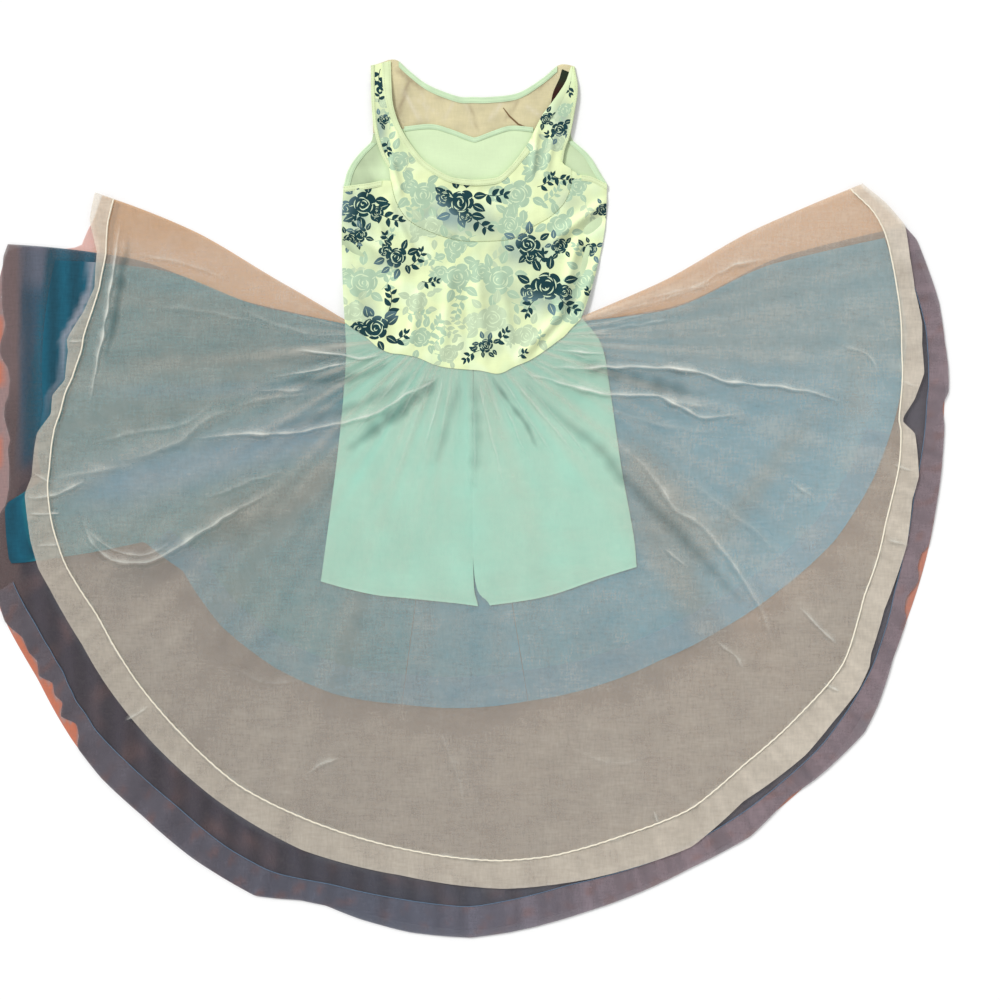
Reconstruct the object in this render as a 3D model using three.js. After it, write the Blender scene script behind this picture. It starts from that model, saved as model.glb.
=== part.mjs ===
// Dance competition dress, laid face up on a flat surface and seen from above.
// Sizes are millimetres. +X is the viewer's right, +Y is towards the neck, +Z is up.
// The tables measure x and y from the middle of the front waist. The finished group
// is then moved so that its origin is at the bottom centre of its own box.
import * as THREE from 'three';

// Cloth and stacking
const WALL = 1;                 // thickness of one piece of cloth
const SEAM = 0.3;               // gap between pieces that are sewn or lie on each other
const LAYER = WALL + SEAM;      // height that one piece adds to the stack
const SEAM_PULL = 0.45;         // how far a slanting seam edge is drawn back
const HIDDEN_SEAM = 1;          // gap at a back seam that other pieces cover
const WAIST_TUCK = 4;           // how far the front layers run under the bodice edge

// Undersides of the layers, counted up from the surface
const LEVEL = {
  floor: 0,
  lining: LAYER,
  navy: LAYER,
  front: 2 * LAYER,
  blue: 2 * LAYER,
  shortsBack: 3 * LAYER,
  shortsFront: 4 * LAYER,
  bodiceEdge: 6 * LAYER,
};

// How the front of the bodice stands off its back
const FRONT_CROWN = 3;          // height of the loose middle above the side seams
const CROWN_RUN = 70;           // distance from a side seam at which it is reached
const WAIST_RISE = { from: 66, to: 14 };      // climb on to the gathered skirt
const SHOULDER_DROP = { from: 285, to: 325 }; // straps come down on to the yoke

// How the overskirt steps down from what lies under it
const SHELF_MARGIN = 48;        // level cloth kept past the edge underneath
const SHELF_RUN = 60;           // length of the slope beyond that
const RIM_START = 0.75;         // part of the skirt's length where the rim starts to rise
const RIM_END = 0.9;

// Gathers under the bodice edge of the overskirt
const GATHERS = 24;
const GATHER_HEIGHT = 2.2;
const GATHER_FADE = 0.32;       // part of the skirt's length where they have died out

const BINDING = 7.5;            // width of the neck and back bindings
const ARMHOLE_BINDING = 4.5;
const UNDERARM_BINDING = 7;
const UNDERARM_CLEARANCE = 1.5; // height of the back armhole's strip over the underarm edge
const SWEETHEART_HALF = 3;
const RIM_SHARE = 0.45;         // most of a narrow section that its neck rim may take
const EDGE_SHARE = 0.25;        // most of a narrow section that its armhole binding may take

const COLOURS = {
  ivory: 0xc4c0b2, coral: 0xc57a5c, navy: 0x3c4a63, blue: 0x6f93ab, mint: 0xacd1c0,
  print: 0xdfeab9, lining: 0xd8efc4, mesh: 0xcfbf9c, trim: 0xe4ecc0,
};

// Left half of the front from the neck edge to the armhole, one row for each section.
// rim is the width of the turned or bound strip along the neck edge.
const LEFT_STRAP = [
  { neckX: -99, neckY: 336, edgeX: -124, edgeY: 330, rim: 12 },
  { neckX: -98, neckY: 306, edgeX: -124, edgeY: 305, rim: 11 },
  { neckX: -96, neckY: 281, edgeX: -123, edgeY: 278, rim: 8 },
  { neckX: -89, neckY: 258, edgeX: -120, edgeY: 249, rim: BINDING },
  { neckX: -79, neckY: 239, edgeX: -112, edgeY: 221, rim: BINDING },
  { neckX: -66, neckY: 221, edgeX: -102, edgeY: 202, rim: BINDING },
];

// The bust panel and the panel below it share the seam points in the middle columns.
const BUST_SEAM = [
  { neckX: -55, neckY: 209, edgeX: -99, edgeY: 186, waistX: -100, waistY: -29, rim: BINDING },
  { neckX: -40, neckY: 199, edgeX: -92, edgeY: 159, waistX: -84, waistY: -31, rim: BINDING },
  { neckX: -25, neckY: 191, edgeX: -76, edgeY: 136, waistX: -65, waistY: -35, rim: BINDING },
  { neckX: -10, neckY: 188, edgeX: -45, edgeY: 120, waistX: -41, waistY: -45, rim: BINDING },
  { neckX: 6, neckY: 187, edgeX: -12, edgeY: 111, waistX: -15, waistY: -49, rim: BINDING },
  { neckX: 21, neckY: 188, edgeX: 21, edgeY: 110, waistX: 12, waistY: -51, rim: BINDING },
  { neckX: 36, neckY: 191, edgeX: 56, edgeY: 114, waistX: 36, waistY: -55, rim: BINDING },
  { neckX: 49, neckY: 202, edgeX: 80, edgeY: 129, waistX: 56, waistY: -46, rim: BINDING },
  { neckX: 60, neckY: 215, edgeX: 102, edgeY: 142, waistX: 75, waistY: -38, rim: BINDING },
  { neckX: 70, neckY: 229, edgeX: 119, edgeY: 160, waistX: 91, waistY: -28, rim: 9 },
  { neckX: 76, neckY: 239, edgeX: 126, edgeY: 180, waistX: 102, waistY: -20, rim: 11 },
  { neckX: 80, neckY: 248, edgeX: 127, edgeY: 199, waistX: 110, waistY: -14, rim: 12 },
];

// The right strap is turned at the neck, so its rim is the strap's own folded edge.
const RIGHT_STRAP = [
  { neckX: 84, neckY: 256, edgeX: 116, edgeY: 208, rim: 13 },
  { neckX: 91, neckY: 269, edgeX: 119, edgeY: 225, rim: 13 },
  { neckX: 101, neckY: 282, edgeX: 125, edgeY: 242, rim: 12 },
  { neckX: 111, neckY: 296, edgeX: 131, edgeY: 272, rim: 9 },
  { neckX: 120, neckY: 311, edgeX: 135, edgeY: 302, rim: 6 },
  { neckX: 126, neckY: 329, edgeX: 131, edgeY: 329, rim: 2 },
];

// Sections of the lower front panel below its top binding, closer where it climbs
const LOWER_STEPS = [0.2, 0.38, 0.55, 0.68, 0.78, 0.86, 0.93];

// Sides of the lower front panel, from the underarm edge to the waist.
// bow is how far the section swings sideways at half its length.
const LEFT_SIDE = [
  { edgeX: -158, edgeY: 179, waistX: -156, waistY: 9, bow: -3 },
  { edgeX: -142, edgeY: 181, waistX: -144, waistY: 0, bow: -2 },
  { edgeX: -126, edgeY: 183, waistX: -130, waistY: -9, bow: 0 },
  { edgeX: -110, edgeY: 186, waistX: -115, waistY: -22, bow: 0 },
];
const RIGHT_SIDE = [
  { edgeX: 139, edgeY: 193, waistX: 118, waistY: -8, bow: 3 },
  { edgeX: 152, edgeY: 191, waistX: 126, waistY: 1, bow: 6 },
  { edgeX: 171, edgeY: 182, waistX: 138, waistY: 13, bow: 9 },
];

// Back of the bodice, from the armholes and the sweetheart edge to the back waist
const BACK = [
  { edgeX: -158, edgeY: 179, waistX: -156, waistY: 9, bow: -3 },
  { edgeX: -152, edgeY: 200, waistX: -151, waistY: 6, bow: -2 },
  { edgeX: -140, edgeY: 218, waistX: -142, waistY: 2, bow: 0 },
  { edgeX: -124, edgeY: 234, waistX: -130, waistY: -4, bow: 0 },
  { edgeX: -121, edgeY: 245, waistX: -126, waistY: -5, bow: 0 },
  { edgeX: -82, edgeY: 251, waistX: -92, waistY: -19, bow: 0 },
  { edgeX: -49, edgeY: 254, waistX: -56, waistY: -28, bow: 0 },
  { edgeX: -25, edgeY: 248, waistX: -29, waistY: -31, bow: 0 },
  { edgeX: 2, edgeY: 238, waistX: 0, waistY: -32, bow: 0 },
  { edgeX: 9, edgeY: 238, waistX: 10, waistY: -32, bow: 0 },
  { edgeX: 30, edgeY: 246, waistX: 30, waistY: -31, bow: 0 },
  { edgeX: 51, edgeY: 252, waistX: 50, waistY: -28, bow: 0 },
  { edgeX: 79, edgeY: 250, waistX: 74, waistY: -21, bow: 0 },
  { edgeX: 126, edgeY: 245, waistX: 108, waistY: -8, bow: 0 },
  { edgeX: 129, edgeY: 236, waistX: 111, waistY: -5, bow: 1 },
  { edgeX: 148, edgeY: 219, waistX: 122, waistY: 2, bow: 4 },
  { edgeX: 159, edgeY: 202, waistX: 131, waistY: 9, bow: 7 },
  { edgeX: 171, edgeY: 182, waistX: 138, waistY: 13, bow: 9 },
];

// Back neck and shoulder edge, and the x below it on the sweetheart edge
const YOKE = [
  { neckX: -124, neckY: 330, lowX: -121 },
  { neckX: -111, neckY: 334, lowX: -102 },
  { neckX: -99, neckY: 338, lowX: -82 },
  { neckX: -89, neckY: 336, lowX: -72 },
  { neckX: -76, neckY: 324, lowX: -60 },
  { neckX: -52, neckY: 306, lowX: -42 },
  { neckX: -16, neckY: 292, lowX: -12 },
  { neckX: 4, neckY: 291, lowX: 6 },
  { neckX: 24, neckY: 291, lowX: 21 },
  { neckX: 60, neckY: 296, lowX: 51 },
  { neckX: 90, neckY: 314, lowX: 79 },
  { neckX: 109, neckY: 330, lowX: 100 },
  { neckX: 120, neckY: 332, lowX: 112 },
  { neckX: 131, neckY: 329, lowX: 126 },
];

// Bound stretches of the back: in rows of the yoke, in x, and in rows of the back
const NECK_BINDING_SPAN = { from: 2.5, to: 11.8 };
const SWEETHEART_SPAN = { from: -88, to: 84 };
const BACK_ARMHOLE_SPAN = { start: 0.8, end: 3 };
const BINDING_STEPS = { neck: 20, sweetheart: 24, armhole: 6 };
const ARMHOLE_ROWS = 4;         // rows of the back that belong to each armhole
const PANEL_STEPS = 6;          // sections of a flat panel each way

// The shorts: waist, hem, side and centre edges of each leg
const SHORTS = {
  left: {
    waist: [{ x: -156, y: 9 }, { x: -130, y: -9 }, { x: -100, y: -29 }, { x: -65, y: -35 },
      { x: -41, y: -45 }, { x: -15, y: -49 }, { x: 4, y: -51 }],
    hem: [{ x: -186, y: -314 }, { x: -158, y: -322 }, { x: -118, y: -331 }, { x: -79, y: -335 },
      { x: -40, y: -339 }, { x: -12, y: -342 }, { x: 10, y: -345 }],
    start: [{ x: -156, y: 9 }, { x: -155, y: -46 }, { x: -165, y: -156 }, { x: -186, y: -314 }],
    end: [{ x: 4, y: -51 }, { x: 4, y: -296 }, { x: 10, y: -345 }],
  },
  right: {
    waist: [{ x: 4.5, y: -51 }, { x: 36, y: -55 }, { x: 56, y: -46 }, { x: 75, y: -38 },
      { x: 102, y: -20 }, { x: 138, y: 13 }],
    hem: [{ x: 25, y: -344 }, { x: 62, y: -339 }, { x: 90, y: -334 }, { x: 118, y: -326 },
      { x: 160, y: -311 }, { x: 208, y: -296 }],
    start: [{ x: 4.5, y: -51 }, { x: 4.5, y: -296 }, { x: 25, y: -344 }],
    end: [{ x: 138, y: 13 }, { x: 164, y: -22 }, { x: 175, y: -79 }, { x: 189, y: -174 },
      { x: 204, y: -256 }, { x: 208, y: -296 }],
  },
};

// Reach of the skirts from the front waist, by the angle from straight down.
// cord is the stitched line of the ivory hem, fold is that of the navy hem.
const IVORY_REACH = [
  { angle: -110.1, cord: 460, hem: 498 }, { angle: -106, cord: 460, hem: 493 },
  { angle: -101.8, cord: 458, hem: 475 }, { angle: -96.4, cord: 462, hem: 471 },
  { angle: -92.5, cord: 468, hem: 483 }, { angle: -88.6, cord: 475, hem: 503 },
  { angle: -83, cord: 496, hem: 509 }, { angle: -81, cord: 506, hem: 527 },
  { angle: -78.6, cord: 517, hem: 533 }, { angle: -76.6, cord: 526, hem: 555 },
  { angle: -71.5, cord: 547, hem: 576 }, { angle: -67.3, cord: 562, hem: 599 },
  { angle: -61, cord: 576, hem: 615 }, { angle: -54.7, cord: 580, hem: 619 },
  { angle: -46.3, cord: 593, hem: 633 }, { angle: -37.4, cord: 612, hem: 650 },
  { angle: -28, cord: 632, hem: 666 }, { angle: -18, cord: 641, hem: 682 },
  { angle: -7.3, cord: 650, hem: 686 }, { angle: 3.6, cord: 661, hem: 699 },
  { angle: 12, cord: 659, hem: 701 }, { angle: 23.2, cord: 656, hem: 702 },
  { angle: 30, cord: 643, hem: 681 }, { angle: 38, cord: 630, hem: 676 },
  { angle: 47.2, cord: 622, hem: 661 }, { angle: 51, cord: 610, hem: 643 },
  { angle: 56, cord: 588, hem: 623 }, { angle: 60, cord: 580, hem: 615 },
  { angle: 64, cord: 569, hem: 607 }, { angle: 69, cord: 561, hem: 591 },
  { angle: 72, cord: 557, hem: 589 }, { angle: 77, cord: 548, hem: 569 },
  { angle: 78, cord: 546, hem: 551 }, { angle: 79, cord: 544, hem: 553 },
  { angle: 81, cord: 541, hem: 561 }, { angle: 84.5, cord: 536, hem: 569 },
  { angle: 91, cord: 531, hem: 564 }, { angle: 99.3, cord: 526, hem: 556 },
  { angle: 103.5, cord: 522, hem: 558 }, { angle: 107, cord: 514, hem: 543 },
  { angle: 110.4, cord: 498, hem: 522 },
];
const CORAL_REACH = [
  { angle: -110, hem: 490 }, { angle: -106.5, hem: 503 }, { angle: -102.5, hem: 498 },
  { angle: -100.5, hem: 586 }, { angle: -90, hem: 600 }, { angle: -80, hem: 609 },
  { angle: -70, hem: 638 }, { angle: -60, hem: 684 }, { angle: -50, hem: 702 },
  { angle: -40, hem: 720 }, { angle: -30, hem: 728 }, { angle: -20, hem: 746 },
  { angle: -10, hem: 740 }, { angle: 0, hem: 748 }, { angle: 10, hem: 733 },
  { angle: 20, hem: 720 }, { angle: 30, hem: 710 }, { angle: 40, hem: 699 },
  { angle: 50, hem: 675 }, { angle: 60, hem: 648 }, { angle: 70, hem: 621 },
  { angle: 80, hem: 597 }, { angle: 90, hem: 593 }, { angle: 100, hem: 562 },
  { angle: 104, hem: 553 }, { angle: 110, hem: 520 },
];
const NAVY_REACH = [
  { angle: -100.5, fold: 560, hem: 587 }, { angle: -97.3, fold: 560, hem: 589 },
  { angle: -92.2, fold: 560, hem: 584 }, { angle: -90.6, fold: 560, hem: 580 },
  { angle: -87.3, fold: 563, hem: 587 }, { angle: -84.5, fold: 565, hem: 579 },
  { angle: -81, fold: 569, hem: 588 }, { angle: -76.8, fold: 583, hem: 600 },
  { angle: -71, fold: 601, hem: 615 }, { angle: -68.9, fold: 614, hem: 632 },
  { angle: -64, fold: 633, hem: 656 }, { angle: -60.2, fold: 648, hem: 678 },
  { angle: -57, fold: 653, hem: 685 }, { angle: -53.5, fold: 657, hem: 684 },
  { angle: -52.4, fold: 659, hem: 682 }, { angle: -51, fold: 661, hem: 692 },
  { angle: -49.8, fold: 662, hem: 685 }, { angle: -48.6, fold: 665, hem: 692 },
  { angle: -47.5, fold: 668, hem: 691 }, { angle: -46.7, fold: 670, hem: 704 },
  { angle: -44.9, fold: 674, hem: 697 }, { angle: -43.4, fold: 677, hem: 716 },
  { angle: -39.4, fold: 686, hem: 725 }, { angle: -33.9, fold: 694, hem: 732 },
  { angle: -27.9, fold: 703, hem: 745 }, { angle: -20.8, fold: 715, hem: 756 },
  { angle: -16.6, fold: 716, hem: 744 }, { angle: -10.8, fold: 717, hem: 748 },
  { angle: 0, fold: 718, hem: 759 }, { angle: 7.8, fold: 712, hem: 747 },
  { angle: 16.6, fold: 705, hem: 734 }, { angle: 29, fold: 693, hem: 723 },
  { angle: 34.4, fold: 687, hem: 706 }, { angle: 44.5, fold: 668, hem: 704 },
  { angle: 47.5, fold: 660, hem: 692 }, { angle: 52.2, fold: 645, hem: 669 },
  { angle: 57.5, fold: 625, hem: 644 }, { angle: 58.4, fold: 622, hem: 640 },
  { angle: 61, fold: 613, hem: 640 }, { angle: 63, fold: 607, hem: 631 },
  { angle: 67.7, fold: 594, hem: 626 }, { angle: 75, fold: 582, hem: 611 },
  { angle: 82.6, fold: 573, hem: 602 }, { angle: 88.7, fold: 566, hem: 593 },
  { angle: 93.3, fold: 556, hem: 587 }, { angle: 97.2, fold: 546, hem: 578 },
  { angle: 101.5, fold: 535, hem: 569 }, { angle: 103.5, fold: 530, hem: 558 },
];
const BLUE_REACH = [
  { angle: -99.5, fold: 500, hem: 525 }, { angle: -90, fold: 505, hem: 532 },
  { angle: -80, fold: 515, hem: 541 }, { angle: -74, fold: 530, hem: 562 },
  { angle: -70.5, fold: 535, hem: 566 }, { angle: -69.5, fold: 560, hem: 620 },
  { angle: -66, fold: 560, hem: 634 }, { angle: -63, fold: 560, hem: 645 },
  { angle: -61.5, fold: 520, hem: 600 }, { angle: -60, fold: 480, hem: 560 },
  { angle: -57, fold: 445, hem: 485 }, { angle: -50, fold: 430, hem: 468 },
  { angle: -40, fold: 443, hem: 483 }, { angle: -30, fold: 447, hem: 487 },
  { angle: -20, fold: 444, hem: 485 }, { angle: -10.3, fold: 434, hem: 475 },
  { angle: 0, fold: 430, hem: 472 }, { angle: 8.9, fold: 427, hem: 469 },
  { angle: 20, fold: 432, hem: 472 }, { angle: 30, fold: 437, hem: 476 },
  { angle: 40, fold: 448, hem: 488 }, { angle: 50, fold: 465, hem: 505 },
  { angle: 60, fold: 486, hem: 526 }, { angle: 70, fold: 498, hem: 537 },
  { angle: 80, fold: 505, hem: 543 }, { angle: 90, fold: 510, hem: 546 },
  { angle: 102.5, fold: 500, hem: 530 },
];

// Waist points at the two ends of the skirts, and how far their top edges bow upwards
const WAIST_ENDS = { left: -156, right: 138 };
const FANS = {
  ivory: { from: -110.1, to: 110.4, bowLeft: 15, bowRight: 7 },
  coral: { from: -109.8, to: 110.1, bowLeft: 14, bowRight: 6 },
  navy: { from: -100.5, to: 103.4, bowLeft: 20, bowRight: 14 },
  blue: { from: -99.5, to: 102.5, bowLeft: 18, bowRight: 12 },
};
const BOW_REACH = 0.2;          // part of the fan over which the bow dies out
const BLUE_GORES = [
  { name: 'blue_skirt_left_gore', from: -99.5, to: -10.3 },
  { name: 'blue_skirt_centre_gore', from: -10.3, to: 8.9 },
  { name: 'blue_skirt_right_gore', from: 8.9, to: 102.5 },
];
const GORE_GAP = 0.05;          // degrees left open at each side of a gore seam
const NAVY_BAND = { from: -61, to: 103.4 };
const BLUE_BAND = { from: -56, to: 76 };
const COLUMN_DEGREES = 5;       // spacing of the sections of a flat skirt
const COLUMN_CLEAR = 2;         // and how near one may lie to a row of its table
const OVERSKIRT_DEGREES = 2.4;
const OVERSKIRT_CLEAR = 0.5;
const OVERSKIRT_ROWS = 9;       // below the gathered top, down to the cord
const GATHER_START = 0.03;      // part of the skirt's length that lies flat under the bodice
const GATHER_FULL = 0.07;       // part of its length where the gathers are highest
const FOLD_START = 0.12;        // part of its length past which folds have their full height
const GATHERED_TOP = [0, GATHER_START, 0.055];
const PLAIN_TOP = 0.1;          // first even section below them

// Largest folds of the overskirt, each a straight ridge that dies out at its ends
const FOLD_END = 0.15;          // part of a fold's length, each side of its end, where it does
const FOLDS = [
  { x1: -339, y1: -135, x2: -158, y2: -116, height: 6, width: 16 },
  { x1: -158, y1: -116, x2: -31, y2: -60, height: 5, width: 12 },
  { x1: -244, y1: -30, x2: -118, y2: -34, height: 5, width: 12 },
  { x1: -260, y1: -64, x2: -130, y2: -42, height: 4, width: 12 },
  { x1: -425, y1: -162, x2: -300, y2: -98, height: 6, width: 18 },
  { x1: -518, y1: -199, x2: -440, y2: -180, height: 5, width: 20 },
  { x1: -476, y1: -262, x2: -396, y2: -290, height: 7, width: 20 },
  { x1: -410, y1: -290, x2: -290, y2: -226, height: 7, width: 20 },
  { x1: 59, y1: -62, x2: 176, y2: -80, height: 5, width: 12 },
  { x1: 176, y1: -80, x2: 344, y2: -106, height: 6, width: 16 },
  { x1: 100, y1: -44, x2: 274, y2: -50, height: 5, width: 12 },
  { x1: 274, y1: -50, x2: 469, y2: -92, height: 6, width: 18 },
  { x1: 185, y1: -141, x2: 290, y2: -244, height: 6, width: 16 },
  { x1: 290, y1: -244, x2: 379, y2: -398, height: 7, width: 20 },
  { x1: 379, y1: -398, x2: 448, y2: -440, height: 5, width: 20 },
  { x1: 411, y1: -346, x2: 465, y2: -398, height: 4, width: 20 },
  { x1: 465, y1: -20, x2: 512, y2: -58, height: 4, width: 18 },
];

function smoothstep(from, to, value) {
  const t = THREE.MathUtils.clamp((value - from) / (to - from), 0, 1);
  return t * t * (3 - 2 * t);
}

const mix = THREE.MathUtils.lerp;

// Value of one column of a table between the rows that lie round a key
function lookUp(rows, key, column, at) {
  const last = rows.length - 1;
  let i = 0;
  while (i < last - 1 && at > rows[i + 1][key]) i += 1;
  const t = THREE.MathUtils.clamp((at - rows[i][key]) / (rows[i + 1][key] - rows[i][key]), 0, 1);
  return mix(rows[i][column], rows[i + 1][column], t);
}

// Every column of a table at a place counted in rows, such as 2.5 between the third and fourth
function rowAt(rows, place) {
  const i = Math.min(Math.floor(place), rows.length - 2);
  const t = place - i;
  const row = {};
  for (const column of Object.keys(rows[i])) {
    if (column in rows[i + 1]) row[column] = mix(rows[i][column], rows[i + 1][column], t);
  }
  return row;
}

// Even steps from one number to another
function steps(from, to, count) {
  return Array.from({ length: count + 1 }, (_, i) => from + (to - from) * i / count);
}

// A closed wall of cloth on a grid. underside(u, v) gives the lower point of each crossing.
function clothWall(name, colour, columns, rows, underside) {
  const across = columns.length;
  const down = rows.length;
  const low = columns.map((u) => rows.map((v) => underside(u, v)));
  const positions = [];
  for (const lift of [0, WALL]) {
    for (const column of low) {
      for (const p of column) positions.push(p.x, p.y, p.z + lift);
    }
  }
  let area = 0;
  const ring = [
    ...low.map((column) => column[0]),
    ...low[across - 1],
    ...low.map((column) => column[down - 1]).reverse(),
    ...[...low[0]].reverse(),
  ];
  ring.forEach((p, i) => {
    const q = ring[(i + 1) % ring.length];
    area += p.x * q.y - q.x * p.y;
  });
  const index = [];
  const top = across * down;
  const triangle = (a, b, c) => (area > 0 ? index.push(a, b, c) : index.push(a, c, b));
  const quad = (a, b, c, d) => {
    triangle(a, b, c);
    triangle(a, c, d);
  };
  const id = (i, j) => i * down + j;
  for (let i = 0; i < across - 1; i += 1) {
    for (let j = 0; j < down - 1; j += 1) {
      const [a, b, c, d] = [id(i, j), id(i + 1, j), id(i + 1, j + 1), id(i, j + 1)];
      quad(a + top, b + top, c + top, d + top);
      quad(a, d, c, b);
    }
    quad(id(i, 0), id(i + 1, 0), id(i + 1, 0) + top, id(i, 0) + top);
    const j = down - 1;
    quad(id(i + 1, j), id(i, j), id(i, j) + top, id(i + 1, j) + top);
  }
  for (let j = 0; j < down - 1; j += 1) {
    quad(id(0, j + 1), id(0, j), id(0, j) + top, id(0, j + 1) + top);
    const i = across - 1;
    quad(id(i, j), id(i, j + 1), id(i, j + 1) + top, id(i, j) + top);
  }
  const geometry = new THREE.BufferGeometry();
  geometry.setAttribute('position', new THREE.Float32BufferAttribute(positions, 3));
  geometry.setIndex(index);
  geometry.computeVertexNormals();
  const finish = new THREE.MeshStandardMaterial({ color: colour, roughness: 0.8, metalness: 0 });
  const mesh = new THREE.Mesh(geometry, finish);
  mesh.name = name;
  return mesh;
}

// Bodice front

const FRONT_ROWS = [...LEFT_STRAP, ...BUST_SEAM, ...RIGHT_STRAP];
const LOWER_ROWS = [
  ...LEFT_SIDE,
  ...BUST_SEAM.map((row) => ({ ...row, bow: 0 })),
  ...RIGHT_SIDE,
];
const WAIST_CURVE = LOWER_ROWS.map((row) => ({ x: row.waistX, y: row.waistY }));
const BACK_WAIST_CURVE = BACK.map((row) => ({ x: row.waistX, y: row.waistY }));
const SWEETHEART = BACK.map((row) => ({ x: row.edgeX, y: row.edgeY }))
  .slice(ARMHOLE_ROWS, -ARMHOLE_ROWS);
const LEFT_SEAM_X = LEFT_SIDE[0].waistX + LEFT_SIDE[0].bow;
const FIRST_BUST_ROW = LEFT_STRAP.length;
const LAST_BUST_ROW = LEFT_STRAP.length + BUST_SEAM.length - 1;
const TURN_ROW = LAST_BUST_ROW - 1;     // the strap's own edge turns outwards from here

function waistY(x) {
  return lookUp(WAIST_CURVE, 'x', 'y', x);
}

function backWaistY(x) {
  return lookUp(BACK_WAIST_CURVE, 'x', 'y', x);
}

// Underside of the bodice front
function frontHeight(x, y) {
  const side = RIGHT_SIDE[RIGHT_SIDE.length - 1];
  const lean = (side.edgeX - side.waistX) / (side.edgeY - side.waistY);
  const rightSeamX = side.waistX + lean * (y - side.waistY);
  const inset = Math.min(x - LEFT_SEAM_X, rightSeamX - x);
  const loose = LEVEL.front + FRONT_CROWN * smoothstep(0, CROWN_RUN, inset);
  const overWaist = smoothstep(WAIST_RISE.from, WAIST_RISE.to, y - waistY(x));
  const atShoulder = smoothstep(SHOULDER_DROP.from, SHOULDER_DROP.to, y);
  return mix(mix(loose, LEVEL.bodiceEdge, overWaist), LEVEL.lining, atShoulder);
}

// Parts of a front section, from the neck edge to the armhole or the bust seam
function frontStops(row) {
  const length = Math.hypot(row.edgeX - row.neckX, row.edgeY - row.neckY);
  const rim = Math.min(row.rim, RIM_SHARE * length) / length;
  const edge = Math.min(ARMHOLE_BINDING, EDGE_SHARE * length) / length;
  const end = 1 - SEAM_PULL / length;
  const inner = end - edge;
  return [0, rim, mix(rim, inner, 1 / 3), mix(rim, inner, 2 / 3), inner, end];
}

function frontPoint(place, stop, lift) {
  const row = rowAt(FRONT_ROWS, place);
  const v = frontStops(row)[stop];
  const x = mix(row.neckX, row.edgeX, v);
  const y = mix(row.neckY, row.edgeY, v);
  return { x, y, z: frontHeight(x, y) + lift };
}

function lowerPoint(place, v, lift) {
  const row = rowAt(LOWER_ROWS, place);
  const x = mix(row.edgeX, row.waistX, v) + row.bow * 4 * v * (1 - v);
  const y = mix(row.edgeY, row.waistY, v);
  return { x, y, z: frontHeight(x, y) + lift };
}

function makeBodiceFront() {
  const last = FRONT_ROWS.length - 1;
  const stops = [0, 1, 2, 3, 4, 5];
  const strip = (name, from, to, firstStop, colour) => clothWall(
    name, colour, steps(from, to, Math.round((to - from) * 2)), [firstStop, firstStop + 1],
    (place, stop) => frontPoint(place, stop, LAYER),
  );
  const underarm = UNDERARM_BINDING / (LEFT_SIDE[0].edgeY - LEFT_SIDE[0].waistY);
  const lowerStops = [0, underarm, ...LOWER_STEPS, 1];
  const lowerLast = LOWER_ROWS.length - 1;
  const underarmStrip = (name, from, to) => clothWall(
    name, COLOURS.trim, steps(from, to, (to - from) * 2), [0, underarm],
    (place, v) => lowerPoint(place, v, LAYER),
  );
  return [
    clothWall('front_bust_panel', COLOURS.print, steps(0, last, last * 2), stops,
      (place, stop) => frontPoint(place, stop, 0)),
    clothWall('front_lower_panel', COLOURS.print, steps(0, lowerLast, lowerLast * 2), lowerStops,
      (place, v) => lowerPoint(place, v, 0)),
    strip('front_neck_binding', 0, TURN_ROW - 0.5, 0, COLOURS.trim),
    strip('right_strap_turned_edge', TURN_ROW, last, 0, COLOURS.print),
    strip('left_front_armhole_binding', 0.5, FIRST_BUST_ROW - 0.5, 4, COLOURS.trim),
    strip('right_front_armhole_binding', LAST_BUST_ROW + 0.5, last - 0.5, 4, COLOURS.trim),
    underarmStrip('left_underarm_binding', 0, LEFT_SIDE.length - 1),
    underarmStrip('right_underarm_binding', lowerLast - RIGHT_SIDE.length + 1, lowerLast),
  ];
}

// Bodice back

function backPoint(place, v, z) {
  const row = rowAt(BACK, place);
  return {
    x: mix(row.edgeX, row.waistX, v) + row.bow * 4 * v * (1 - v),
    y: mix(row.edgeY, row.waistY, v),
    z,
  };
}

function yokePoint(place, v, z) {
  const row = rowAt(YOKE, place);
  const lowY = lookUp(SWEETHEART, 'x', 'y', row.lowX) + HIDDEN_SEAM;
  return { x: mix(row.neckX, row.lowX, v), y: mix(row.neckY, lowY, v), z };
}

// A strip along the back armhole, on the lining, as wide as its binding
function backArmholeStrip(name, from, to, sideways) {
  const places = steps(from, to, BINDING_STEPS.armhole);
  return clothWall(name, COLOURS.lining, places, [0, 1], (place, v) => {
    const row = rowAt(BACK, place);
    return {
      x: row.edgeX + sideways * BINDING * v, y: row.edgeY + UNDERARM_CLEARANCE, z: LEVEL.front,
    };
  });
}

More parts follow.
